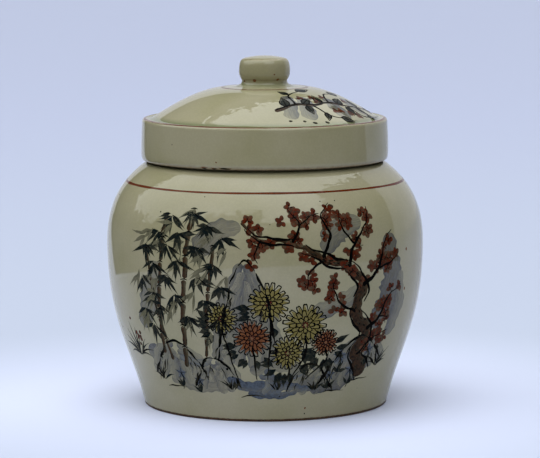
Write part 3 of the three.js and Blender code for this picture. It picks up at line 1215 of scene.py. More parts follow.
    def bamboo(self) -> None:
        """Jointed stems with many leaves that hang in threes and fives, pale ones behind dark ones."""
        p, rng = self.painting, self.painting.random
        stems = (((-70, 30), (-62, 118), 2.8, 6), ((-54, 22), (-44, 122), 3.2, 7), ((-38, 30), (-30, 100), 2.2, 5),
                 ((-64, 26), (-76, 96), 2.0, 5))
        for base, top, width, joints in stems:
            base, top = np.array(base, float), np.array(top, float)
            for i in range(joints):
                a = base + (top - base) * (i / joints) + [0.6 * math.sin(i * 2.1), 0.5]
                b = base + (top - base) * ((i + 1) / joints) - [0, 0.5]
                p.stroke(Pigment.BROWN, [a, (a + b) / 2 + [0.3, 0], b], (width * 1.15, width * 0.9, width * 1.2), 0.5,
                         (0.9, 0.75), 0.08, lean=0.3)
                p.stroke(Pigment.INK, [b + [-width * 0.75, 0.1], b + [0, 0.7], b + [width * 0.75, 0.2]],
                         (0.4, 0.8, 0.4), 0.5, (1.0, 1.0), 0.05)
                p.stroke(Pigment.INK, [a + [width * 0.5, 1.0], (a + b) / 2 + [width * 0.48, 0]], (0.3, 0.5, 0.2), 0.4,
                         (0.9, 0.5), 0.08)
        clusters = [
            (-46, 120, 5), (-58, 116, 5), (-34, 112, 5), (-68, 108, 5), (-50, 106, 5), (-24, 102, 4), (-40, 98, 5),
            (-60, 98, 5), (-76, 98, 5), (-70, 86, 4), (-30, 88, 4), (-52, 90, 5), (-62, 80, 4), (-80, 80, 4),
            (-42, 80, 4), (-24, 78, 3), (-72, 70, 5), (-54, 70, 4), (-36, 66, 4), (-64, 60, 4), (-80, 60, 4),
            (-46, 56, 4), (-74, 48, 3), (-30, 54, 3),
        ]
        for layer, (pigment, load, spread) in enumerate(((Pigment.TEAL, 0.5, 3.5), (Pigment.TEAL, 1.0, 1.2))):
            for x, y, count in clusters:
                middle = -UPRIGHT + rng.uniform(-0.4, 0.4)
                x, y = x + rng.normal(0, spread), y + rng.normal(0, spread)
                for k in range(count + 2 if layer else 3):
                    turn = middle + (k - (count + 1) / 2) * rng.uniform(0.34, 0.52)
                    p.leaf(pigment, (x + rng.normal(0, 0.6), y + rng.normal(0, 0.8)), turn, rng.uniform(8.0, 15.0),
                           rng.uniform(1.7, 2.9), rng.uniform(-0.35, 0.35), load)
                if layer:
                    twig = [(x + 6, y - 4), (x + 2, y - 0.8), (x, y)]
                    p.stroke(Pigment.INK, twig, (0.4, 0.6, 0.3), 0.4, (1, 1), 0.05)

    def chrysanthemums(self) -> None:
        """Flower heads in ochre and orange-brown: a wash, three rings of outlined petals, dark leaves below."""
        p, rng = self.painting, self.painting.random
        heads = [
            (2, 66, 12.0, Pigment.OCHRE), (24, 52, 13.0, Pigment.OCHRE), (-8, 44, 11.5, Pigment.SIENNA),
            (14, 34, 10.5, Pigment.OCHRE), (-26, 56, 9.5, Pigment.OCHRE), (38, 40, 8.5, Pigment.SIENNA),
        ]
        for x, y, size, _ in heads:
            p.stroke(Pigment.INK, [(x, y - size * 0.5), (x + 1.5, y - size * 1.4), (x * 0.7, 16)], (1.0, 1.2, 0.7), 0.4,
                     (1.0, 0.8), 0.2)
            for k in range(16):
                turn, length = rng.uniform(0, ANY_PHASE), rng.uniform(7, 11)
                start = (x + math.cos(turn) * size * 0.9, y - size * 0.5 + math.sin(turn) * size * 0.8)
                middle = (start[0] + math.cos(turn) * length / 2, start[1] + math.sin(turn) * length / 2)
                if min(math.hypot(middle[0] - a, middle[1] - b) - r for a, b, r, _ in heads) > 1.0:
                    p.leaf(Pigment.TEAL, start, turn, length, rng.uniform(3.4, 5.2), rng.uniform(-0.4, 0.4), 1.0)
        for x, y, size, pigment in heads:
            p.stroke(pigment, [(x - size * 0.55, y - 1), (x, y + 0.5), (x + size * 0.55, y)],
                     (size * 0.9, size * 1.3, size * 0.8), 0.5, (0.7, 0.6), 0.4, rim=0.2)
            for ring, count, reach in ((0, 19, 1.0), (1, 13, 0.7), (2, 8, 0.4)):
                for k in range(count):
                    turn = FULL_TURN * (k + 0.5 * ring) / count + rng.uniform(-0.08, 0.08)
                    toward = pointing(turn)
                    square = np.array([-toward[1], toward[0]])
                    inner = np.array([x, y]) + toward * size * reach * 0.25
                    p.leaf(pigment, tuple(inner), turn, size * reach * 0.78, size * 0.27, rng.uniform(-0.2, 0.2), 1.0)
                    tip = np.array([x, y]) + toward * size * reach * rng.uniform(0.94, 1.06)
                    across, back = square * size * 0.12, -toward * size * 0.34
                    edge = [tip + back + across, tip + across * 0.6, tip, tip - across * 0.6, tip + back - across]
                    p.stroke(Pigment.INK, edge, (0.4, 0.75, 0.4), 0.5, (1, 1), 0.04)
            for k in range(7):
                turn = FULL_TURN * k / 7 + rng.uniform(-0.3, 0.3)
                p.dab(Pigment.RUST, (x + math.cos(turn) * 1.5, y + math.sin(turn) * 1.5), 1.3, turn)

    def bellflowers(self) -> None:
        """Blue five-petalled flowers with ink veins, low on the right."""
        p, rng = self.painting, self.painting.random
        for x, y, size in ((50, 30, 6.0), (60, 20, 5.5), (44, 18, 5.0), (72, 32, 5.5), (-60, 18, 5.0), (-46, 14, 4.5)):
            p.stroke(Pigment.TEAL, [(x, y), (x + 1.0, y - size), (x - 1.0, max(y - 2.2 * size, 6.0))], (0.8, 1.0, 0.5),
                     0.4, (1.0, 0.8), 0.1)
            for k in range(5):
                turn = FULL_TURN * (k + 0.25) / 5 + rng.uniform(-0.12, 0.12)
                p.leaf(Pigment.BLUE, (x, y), turn, size, size * 0.52, 0.0, 1.0)
                tip = np.array([x, y]) + pointing(turn) * size
                vein = [(x, y), tuple((np.array([x, y]) + tip) / 2), tuple(tip)]
                p.stroke(Pigment.INK, vein, (0.4, 0.35, 0.25), 0.2, (1.0, 0.8), 0.06)
            for k in range(3):
                p.leaf(Pigment.TEAL, (x, y - 1.8 * size), rng.uniform(0.2, 2.9), rng.uniform(6, 9),
                       rng.uniform(2.0, 2.8), rng.uniform(-0.4, 0.4), 1.0)

    def plum(self) -> None:
        """A gnarled trunk that rises on the right and reaches over to the left, thick with blossom."""
        p, rng = self.painting, self.painting.random
        trunk = [(72, 16), (62, 30), (66, 46), (56, 58), (60, 74), (50, 86), (34, 92), (16, 102), (-2, 104), (-14, 114)]
        p.stroke(Pigment.BROWN, trunk, (12.0, 8.5, 1.6), 0.15, (1.0, 0.85), 0.6, lean=0.25)
        path = flowing(trunk, 1.0)
        t = np.linspace(0, 1, len(path))
        side = left_of(path)
        half = (6.0 - 5.1 * t)[:, None]
        for sign in (-1, 1):
            for start, end in ((0.0, 0.18), (0.17, 0.36), (0.37, 0.55), (0.54, 0.74), (0.76, 0.98)):
                run = (t >= start) & (t <= end)
                knots = 0.6 * np.sin(np.arange(len(t)) / 3.0 + sign)[:, None]
                p.stroke(Pigment.INK, (path + sign * side * (half + knots))[run][::3], (0.7, 1.7, 0.5), 0.35,
                         (1.0, 0.9), 0.3)
        for k in range(52):
            i = int(rng.uniform(0.02, 0.75) * (len(path) - 1))
            at = path[i] + side[i] * rng.uniform(-0.75, 0.75) * half[i]
            along = (path[min(i + 3, len(path) - 1)] - path[i]) * rng.uniform(0.5, 1.3)
            p.stroke(Pigment.INK, [at, at + along * 0.6, at + along * 1.1], (0.3, 0.8, 0.25), 0.4, (1.0, 0.6), 0.12)
        branches = [
            ([(66, 46), (76, 54), (82, 66), (92, 70)], 2.8), ([(60, 74), (72, 84), (76, 98), (84, 106)], 3.0),
            ([(50, 86), (54, 100), (64, 112), (66, 122)], 2.6), ([(34, 92), (38, 106), (34, 118), (40, 126)], 2.4),
            ([(54, 100), (46, 110), (46, 120)], 1.6), ([(16, 102), (20, 112), (14, 122)], 2.0),
            ([(34, 92), (26, 84), (24, 74)], 1.8), ([(72, 84), (82, 86), (90, 92)], 1.7),
            ([(56, 58), (46, 64), (40, 74), (42, 80)], 2.0), ([(62, 30), (74, 40), (86, 44)], 1.8),
            ([(-2, 104), (-6, 96), (-4, 90)], 1.3), ([(76, 54), (84, 52)], 1.2), ([(20, 112), (28, 118)], 1.1),
        ]
        for points, width in branches:
            p.stroke(Pigment.INK, points, (width, width * 0.8, 0.5), 0.1, (1.0, 0.9), 0.35)
        for points, width in branches:
            line = flowing(points, 1.0)
            for k in range(max(4, len(line) // 4)):
                i = int(rng.uniform(0.25, 0.98) * (len(line) - 1))
                self.blossom(line[i] + rng.normal(0, 2.4, 2))
        for at in path[int(len(path) * 0.42)::6]:
            self.blossom(at + rng.normal(0, 3.0, 2))

    def blossom(self, at: np.ndarray) -> None:
        """Three to five rust dabs round a centre, with a few ink stamens.

        Args:
            at: the centre.
        """
        p, rng = self.painting, self.painting.random
        count = int(rng.integers(3, 6))
        turn = rng.uniform(0, ANY_PHASE)
        for k in range(count):
            angle = turn + FULL_TURN * k / 5
            p.dab(Pigment.RUST, tuple(at + pointing(angle) * 2.1), rng.uniform(2.6, 3.5), angle, 1.25)
        if rng.uniform() < 0.55:
            for k in range(3):
                tip = at + pointing(turn + 2.1 * k) * rng.uniform(1.6, 2.6)
                p.stroke(Pigment.INK, [at, (at + tip) / 2, tip], (0.35, 0.5, 0.4), 0.5, (1, 1), 0.02)

    def grass(self) -> None:
        """Tufts of long blades, and one small tuft with berries by itself at the left."""
        p, rng = self.painting, self.painting.random
        tufts = ((-97, 26, 11, 22), (84, 20, 9, 16), (-78, 12, 8, 13), (34, 8, 7, 11), (-22, 9, 7, 11), (8, 9, 6, 9))
        for x, y, count, reach in tufts:
            for k in range(count):
                turn = UPRIGHT + (k - (count - 1) / 2) * 0.2 + rng.uniform(-0.06, 0.06)
                length = reach * rng.uniform(0.6, 1.05)
                p.leaf(Pigment.INK if k % 2 else Pigment.TEAL, (x + rng.uniform(-1.5, 1.5), y), turn, length,
                       rng.uniform(1.0, 1.7), (UPRIGHT - turn) * -1.2, 1.0)
        for k in range(9):
            p.dab(Pigment.RUST, (-95 + rng.normal(0, 3.0), 42 + rng.normal(0, 4.0)), rng.uniform(1.8, 2.6), 0.5 * k)
        for x, y in ((-66, 8), (-8, 4.5), (50, 6), (70, 12)):
            blade = [(x - 9, y), (x - 2, y + 1.0), (x + 8, y + 0.4)]
            p.stroke(Pigment.INK, blade, (0.4, 0.9, 0.3), 0.3, (1, 0.6), 0.25)


# The lid

@dataclass
class CapLid:
    """The cap lid, its knob, and what is brushed on them.

    The bands say where the glaze is bare, thin or pooled; one band under the knob's bulge is painted shade, in the
    brown of thin glaze. The last fields place the lines and the nicks.
    """

    glaze: bpy.types.Material
    jar: JarSizes = JarSizes()
    sizes: LidSizes = LidSizes()
    segments: int = 336
    knob_segments: int = 160
    knob_sway: float = 0.05
    foot_bare: Band = Band(0.75, 0.0, 1.1)
    foot_bare_reach: float = 0.5
    seat_bare: float = 0.9
    foot_thin: Band = Band(0.5, 1.0, 2.6)
    bead_thin: Band = Band(0.35, 1.2, 1.4)
    gutter_pooled: Band = Band(1.0, -1.8, 3.6)
    gutter_rise: float = 1.0
    knob_top_thin: Band = Band(0.45, 0.0, 1.6)
    # Painted shade: brown under the knob's bulge, where its undercut is in shadow.
    knob_undercut_shade: Band = Band(0.5, 4.1, 1.3)
    knob_pooled: Band = Band(0.6, 1.2, 2.0)
    bead_line_offset: float = 0.75
    bead_line_width: float = 1.6
    knob_line_radius: float = 25.0
    knob_line_width: float = 1.3
    nick_height: float = 1.0
    spot_height: float = 4.6

    @property
    def bead_height(self) -> float:
        """Height of the rounded bead round the lid's top."""
        return self.jar.rim_height + self.sizes.seat_clearance + self.sizes.seat_thickness

    @property
    def crown_height(self) -> float:
        """Height of the flat that the knob stands on."""
        s = self.sizes
        return self.bead_height - s.gutter_depth + s.dome_rise + s.dome_foot_rise

    @property
    def skirt_radius(self) -> float:
        """Outer radius of the skirt at its foot."""
        return self.jar.neck_radius + self.sizes.skirt_clearance + self.sizes.skirt_wall

    def dome(self) -> np.ndarray:
        """The dome's outer curve from the gutter to the knob, as one Bezier curve.

        Returns:
            Points from the gutter inwards, one row of radius and height for each.
        """
        s = self.sizes
        foot = (self.skirt_radius - s.dome_foot_inset, self.bead_height - s.gutter_depth + s.dome_foot_rise)
        crown = (s.knob_foot_radius, self.crown_height)
        risen = (foot[0] - s.dome_foot_pull, foot[1] + s.dome_foot_pull * s.dome_foot_slope)
        eased = (crown[0] + s.dome_crown_pull, crown[1] - s.dome_crown_pull * s.dome_crown_slope)
        return bezier([foot, risen, eased, crown], 60)

    def profile(self) -> tuple[np.ndarray, dict[str, np.ndarray]]:
        """The closed section: skirt, bead, gutter and dome outside, then the hollow, the seat and the bore.

        Returns:
            The section's points, and how bare, thin and pooled the glaze is at each of them.
        """
        s = self.sizes
        dome = self.dome()
        foot = self.jar.ledge_height + s.skirt_gap
        bead = self.bead_height
        bore, outer = self.jar.neck_radius + s.skirt_clearance, self.skirt_radius
        top = outer - s.skirt_taper
        crest = top - s.bead_rounding
        shoulder = bead - s.bead_rounding
        gutter, gutter_height = crest - s.gutter_width / 2, bead - s.gutter_depth
        seat, seat_inner = self.jar.rim_height + s.seat_clearance, bore - s.seat_width
        dome_foot = tuple(dome[0])
        run_out = dome_foot[0] + s.dome_foot_rise / s.dome_foot_slope
        drawn = foot + s.skirt_draw
        soft_foot = foot + s.skirt_inner_rounding
        outside = chain(
            straight((bore + s.skirt_inner_rounding, foot), (outer - s.skirt_outer_rounding, foot), 3),
            bezier([(outer - s.skirt_outer_rounding, foot), (outer - s.skirt_ease, foot),
                    (outer, foot + s.skirt_ease), (outer, drawn)], 14),
            bezier([(outer, drawn), (outer, (foot + bead) / 2), (top, shoulder)], 22),
            bezier([(top, shoulder), (top, bead), (crest, bead)], 9),
            bezier([(crest, bead), (crest - s.gutter_width / 4, bead),
                    (gutter + s.gutter_width / 4, gutter_height), (gutter, gutter_height)], 7),
            bezier([(gutter, gutter_height), (run_out, gutter_height), dome_foot], 7),
            dome,
            straight(tuple(dome[-1]), (0.0, self.crown_height), 4),
        )
        hollow = inside_of(dome, s.dome_wall)
        hollow = hollow[hollow[:, 0] < seat_inner]
        spring = tuple(hollow[0])
        corner = bore - s.seat_rounding
        inside = chain(
            straight((0.0, hollow[-1, 1]), tuple(hollow[-1]), 4),
            hollow[::-2],
            bezier([spring, (seat_inner, spring[1] - s.seat_rounding), (seat_inner, seat)], 7),
            straight((seat_inner, seat), (corner, seat), 5),
            bezier([(corner, seat), (bore, seat), (bore, seat - s.seat_rounding)], 4),
            straight((bore, seat - s.seat_rounding), (bore, soft_foot), 8),
            bezier([(bore, soft_foot), (bore, foot), (bore + s.skirt_inner_rounding, foot)], 5),
        )
        points = np.vstack([outside, inside])
        radius, height = points[:, 0], points[:, 1]
        seated = (height <= seat + 0.1) & (radius < bore + 1)
        bare = self.foot_bare.beside(height, foot) * (radius < outer - self.foot_bare_reach)
        bare = bare + np.where(seated, self.seat_bare, 0.0)
        thin = self.foot_thin.beside(height, foot) * (radius > bore) + self.bead_thin.beside(radius, crest)
        pooled = self.gutter_pooled.beside(radius, gutter) * (height > gutter_height - self.gutter_rise)
        return points, {"bare": np.clip(bare, 0, 1), "thin": np.clip(thin, 0, 1), "pooled": pooled}

    def knob_profile(self) -> np.ndarray:
        """A low waist, an undercut, a barrel grip and a gently swollen top.

        Returns:
            Points from the middle of the knob's foot to the middle of its top.
        """
        s = self.sizes
        edge = s.knob_height - s.knob_crown
        rounded = s.knob_radius - s.knob_top_rounding
        foot, waist = (s.knob_foot_radius, 0.0), (s.knob_waist_radius, s.knob_waist_height)
        bulge, brow = (s.knob_radius, s.knob_bulge), (rounded, edge + s.knob_crown / 3)
        runs = [
            straight((0.0, 0.0), foot, 4),
            bezier([foot, (waist[0], waist[1] / 4), waist], 12),
            bezier([waist, (waist[0], (waist[1] + s.knob_undercut) / 2), (bulge[0], s.knob_undercut), bulge], 16),
            bezier([bulge, (bulge[0], edge), (rounded + s.knob_top_rounding / 2, edge), brow], 20),
            bezier([brow, (rounded / 2, s.knob_height), (0.0, s.knob_height)], 14),
        ]
        return chain(*runs) + [0.0, self.crown_height]

    def build(self, pigments: dict[Pigment, bpy.types.Material]) -> list[bpy.types.Object]:
        """The glazed lid, the knob and what is brushed on them.

        Args:
            pigments: the material of each brushed colour.

        Returns:
            The pieces.
        """
        points, states = self.profile()
        solid = Turned("glazed_lid", points, self.segments)
        cap = glazed(solid, states, self.glaze)
        knob_points = self.knob_profile()
        turned_knob = Turned("glazed_knob", knob_points, self.knob_segments, self.knob_sway)
        rise = knob_points[:, 1] - self.crown_height
        top = self.sizes.knob_height - self.sizes.knob_crown
        states = {
            "bare": np.zeros(len(rise)),
            # Besides thin glaze, this state holds the painted shade under the knob's bulge.
            "thin": self.knob_top_thin.beside(rise, top) + self.knob_undercut_shade.beside(rise, 0.0),
            "pooled": self.knob_pooled.beside(rise, 0.0),
        }
        knob = glazed(turned_knob, states, self.glaze)
        for piece, node, slot in ((cap, "lid_cap", "lid_glaze"), (knob, "lid_knob", "knob_glaze")):
            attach(piece, "lid")
            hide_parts(node)
        rings = self.rings(solid, points)
        sprig = Painting(DomeCanvas(solid, self.dome()), "lid", "lid_glaze", "lid_painting", np.random.default_rng(7))
        self.sprig(sprig)
        drips = self.drips(turned_knob, knob_points)
        return [cap, knob, *rings.build(pigments), *sprig.build(pigments), *drips.build(pigments)]

    def rings(self, solid: Turned, points: np.ndarray) -> Painting:
        """The maroon line inside the bead, the one round the knob, and the skirt's worn edge.

        Args:
            solid: the turned lid.
            points: its profile.

        Returns:
            The painting that they are on.
        """
        crest = self.skirt_radius - self.sizes.skirt_taper - self.sizes.bead_rounding
        top = points[: int(np.argmax(points[:, 0] < TOUCHING))]
        canvas = WallCanvas(solid, top, self.skirt_radius)
        painting = Painting(canvas, "lid", "lid_glaze", "lid_rings", np.random.default_rng(5))
        upper = top[:, 1] > self.bead_height - self.sizes.gutter_depth - 0.2
        for radius, width in (
            (crest + self.bead_line_offset, self.bead_line_width), (self.knob_line_radius, self.knob_line_width)
        ):
            up = float(np.interp(-radius, -top[upper][:, 0], canvas.length[upper]))
            painting.ring(Pigment.LINE, up, width, self.skirt_radius, 1.0)
        self.worn_edge(painting, top, canvas.length)
        return painting

    def worn_edge(self, painting: Painting, top: np.ndarray, length: np.ndarray) -> None:
        """Dark bare nicks along the skirt's lower edge, left of the front, and a spot above them.

        Args:
            painting: what they are laid on.
            top: the lid's outer profile.
            length: the length along it at each of its points.
        """
        rising = top[:, 1] < self.bead_height - self.sizes.bead_rounding
        foot = self.jar.ledge_height + self.sizes.skirt_gap
        edge, spot = np.interp(
            [foot + self.nick_height, foot + self.spot_height], top[rising][:, 1], length[rising]
        )
        for start, end, width in ((-37.4, -34.4, 0.8), (-31.0, -28.0, 0.7), (-25.8, -19.6, 1.0)):
            painting.stroke(Pigment.INK, [(start, edge), ((start + end) / 2, edge - 0.2), (end, edge)],
                            (width * 0.6, width, width * 0.4), 0.5, (1.0, 0.9), 0.2)
            painting.stroke(Pigment.SIENNA, [(start - 0.8, edge + 0.3), (end + 0.9, edge + 0.2)],
                            (0.3, width * 0.8, 0.3), 0.5, (0.7, 0.6), 0.2)
        painting.dab(Pigment.SIENNA, (-28.2, float(spot)), 0.9, 0.4, 1.0)

    def drips(self, solid: Turned, points: np.ndarray) -> Painting:
        """Brown spots low on the knob, where oxide ran into its waist.

        Args:
            solid: the turned knob.
            points: its profile.

        Returns:
            The painting that they are on.
        """
        side = points[points[:, 0] > self.sizes.knob_waist_radius * 0.9]
        canvas = WallCanvas(solid, side, self.sizes.knob_radius)
        painting = Painting(canvas, "lid", "knob_glaze", "knob_spots", np.random.default_rng(3))
        rise = side[:, 1] - self.crown_height
        low = rise < self.sizes.knob_bulge
        for angle, height, size in ((-25.0, 3.9, 1.9), (34.0, 4.3, 1.6), (23.0, 7.7, 0.8), (-60.0, 3.2, 1.2)):
            up = float(np.interp(height, rise[low], canvas.length[low]))
            painting.dab(Pigment.SIENNA, (math.radians(angle) * self.sizes.knob_radius, up), size, 0.3, 1.3)
        return painting

    def sprig(self, painting: Painting) -> None:
        """A small branch on the right of the dome, over a grey wash: outlined leaves and pairs of berries.

        Args:
            painting: what it is laid on.
        """
        rng = painting.random
        for path, width in (
            ([(13, -35), (14, -46), (17, -58)], 10.0), ([(22, -33), (24, -44), (28, -55)], 10.0),
            ([(36, -24), (42, -33), (49, -40)], 11.0), ([(44, -10), (51, -16), (59, -20)], 9.0),
        ):
            painting.stroke(Pigment.GREY, path, (width * 0.8, width, width * 0.9), 0.45, (0.9, 0.4), 0.4,
                            lean=0.4, rim=0.15)
        branch = [(6, -53), (18, -44), (28, -40), (37, -30), (48, -22), (59, -5)]
        painting.stroke(Pigment.BROWN, branch, (3.0, 2.2, 0.9), 0.2, (1.0, 0.9), 0.3)
        painting.stroke(Pigment.INK, [(x + 0.6, y + 1.0) for x, y in branch], (1.0, 1.2, 0.5), 0.2, (1.0, 0.9), 0.3)
        for points in (
            [(18, -44), (14, -34), (19, -25)], [(28, -40), (38, -45), (45, -42)], [(37, -30), (34, -20), (38, -11)],
            [(48, -22), (56, -25), (61, -20)],
        ):
            painting.stroke(Pigment.INK, points, (1.5, 1.2, 0.6), 0.2, (1.0, 0.9), 0.25)
        for x, y, turn, length in (
            (13, -48, 1.9, 10), (18, -25, 0.9, 11), (22, -42, 1.2, 9), (24, -42, -1.0, 8), (33, -35, 2.2, 9),
            (44, -42, 0.2, 9), (36, -43, -1.4, 7), (38, -12, 1.3, 10), (42, -26, 1.5, 10), (47, -24, -0.7, 8),
            (60, -20, 0.9, 9), (54, -13, 2.4, 9), (59, -6, 1.3, 9), (14, -33, 2.6, 7), (53, -16, 0.1, 7),
        ):
            self.outlined_leaf(painting, (x, y), turn, length, 0.5 * length)
        for x, y in ((27, -31), (30, -34), (41, -37), (44, -34), (46, -15), (20, -35), (55, -28), (50, -31), (33, -25)):
            for turn in (0.3, 2.2, 4.4):
                at = (x + 1.2 * math.cos(turn), y + 1.2 * math.sin(turn))
                painting.dab(Pigment.RUST, at, rng.uniform(2.2, 3.0), turn, 1.2)
        for x, y in ((15, -60), (23, -58), (29, -57), (36, -53)):
            painting.dab(Pigment.INK, (x, y), rng.uniform(1.2, 1.8), 0.2, 1.6)

    def outlined_leaf(self, painting: Painting, at: Point, turn: float, length: float, width: float) -> None:
        """A leaf with an ink vein, and an ink line along each side.

        Args:
            painting: what it is laid on.
            at: where it starts.
            turn: the angle that it points at, in radians.
            length: how long it is.
            width: how wide it is at its widest.
        """
        painting.leaf(Pigment.TEAL, at, turn, length, width, 0.0, 1.0)
        base = np.asarray(at, float)
        toward = pointing(turn)
        square = np.array([-toward[1], toward[0]])
        tip = base + toward * length
        painting.stroke(Pigment.INK, [base, base + toward * length * 0.5, tip], (0.5, 0.7, 0.3), 0.4, (1.0, 0.9), 0.1)
        for side in (-0.55, 0.55):
            middle = base + toward * length * 0.4 + square * side * width
            painting.stroke(Pigment.INK, [base, middle, tip + toward * 0.8], (0.5, 0.9, 0.3), 0.5, (1.0, 0.9), 0.1)


# Camera, light and floor

@dataclass(frozen=True)
class Viewpoint:
    """Where the photograph was taken from, in metres and degrees, with its lens and sensor in millimetres."""

    across: float = 0.0037
    distance: float = 1.80
    height: float = 0.3213
    pitch: float = 6.94
    roll: float = 0.2
    lens: float = 204.9
    sensor: float = 36.0

    def build(self) -> bpy.types.Object:
        """The scene's camera.

        Returns:
            The camera, level across but for a small roll, and looking down by its pitch.
        """
        data = bpy.data.cameras.new("photograph")
        data.lens = self.lens
        data.sensor_width = self.sensor
        data.dof.use_dof = False
        camera = bpy.data.objects.new("photograph", data)
        bpy.context.scene.collection.objects.link(camera)
        camera.location = (self.across, -self.distance, self.height)
        camera.rotation_euler = (math.radians(90.0 - self.pitch), math.radians(self.roll), 0.0)
        bpy.context.scene.camera = camera
        return camera


@dataclass(frozen=True)
class SoftLight:
    """A square soft light that faces the jar and isn't mirrored in its glaze."""

    name: str
    at: tuple[float, float, float]
    size: float
    power: float
    colour: tuple[float, float, float]
    aim_height: float = 0.1

    def build(self) -> None:
        """Adds the light, turned so that its front faces the point on the axis that it aims at."""
        data = bpy.data.lights.new(self.name, "AREA")
        data.size, data.energy, data.color = self.size, self.power, self.colour
        lamp = bpy.data.objects.new(self.name, data)
        lamp.location = self.at
        x, y, z = np.array(self.at) - np.array([0.0, 0.0, self.aim_height])
        lamp.rotation_euler = (math.atan2(math.hypot(x, y), z), 0.0, math.atan2(x, -y))
        lamp.visible_glossy = False
        bpy.context.scene.collection.objects.link(lamp)


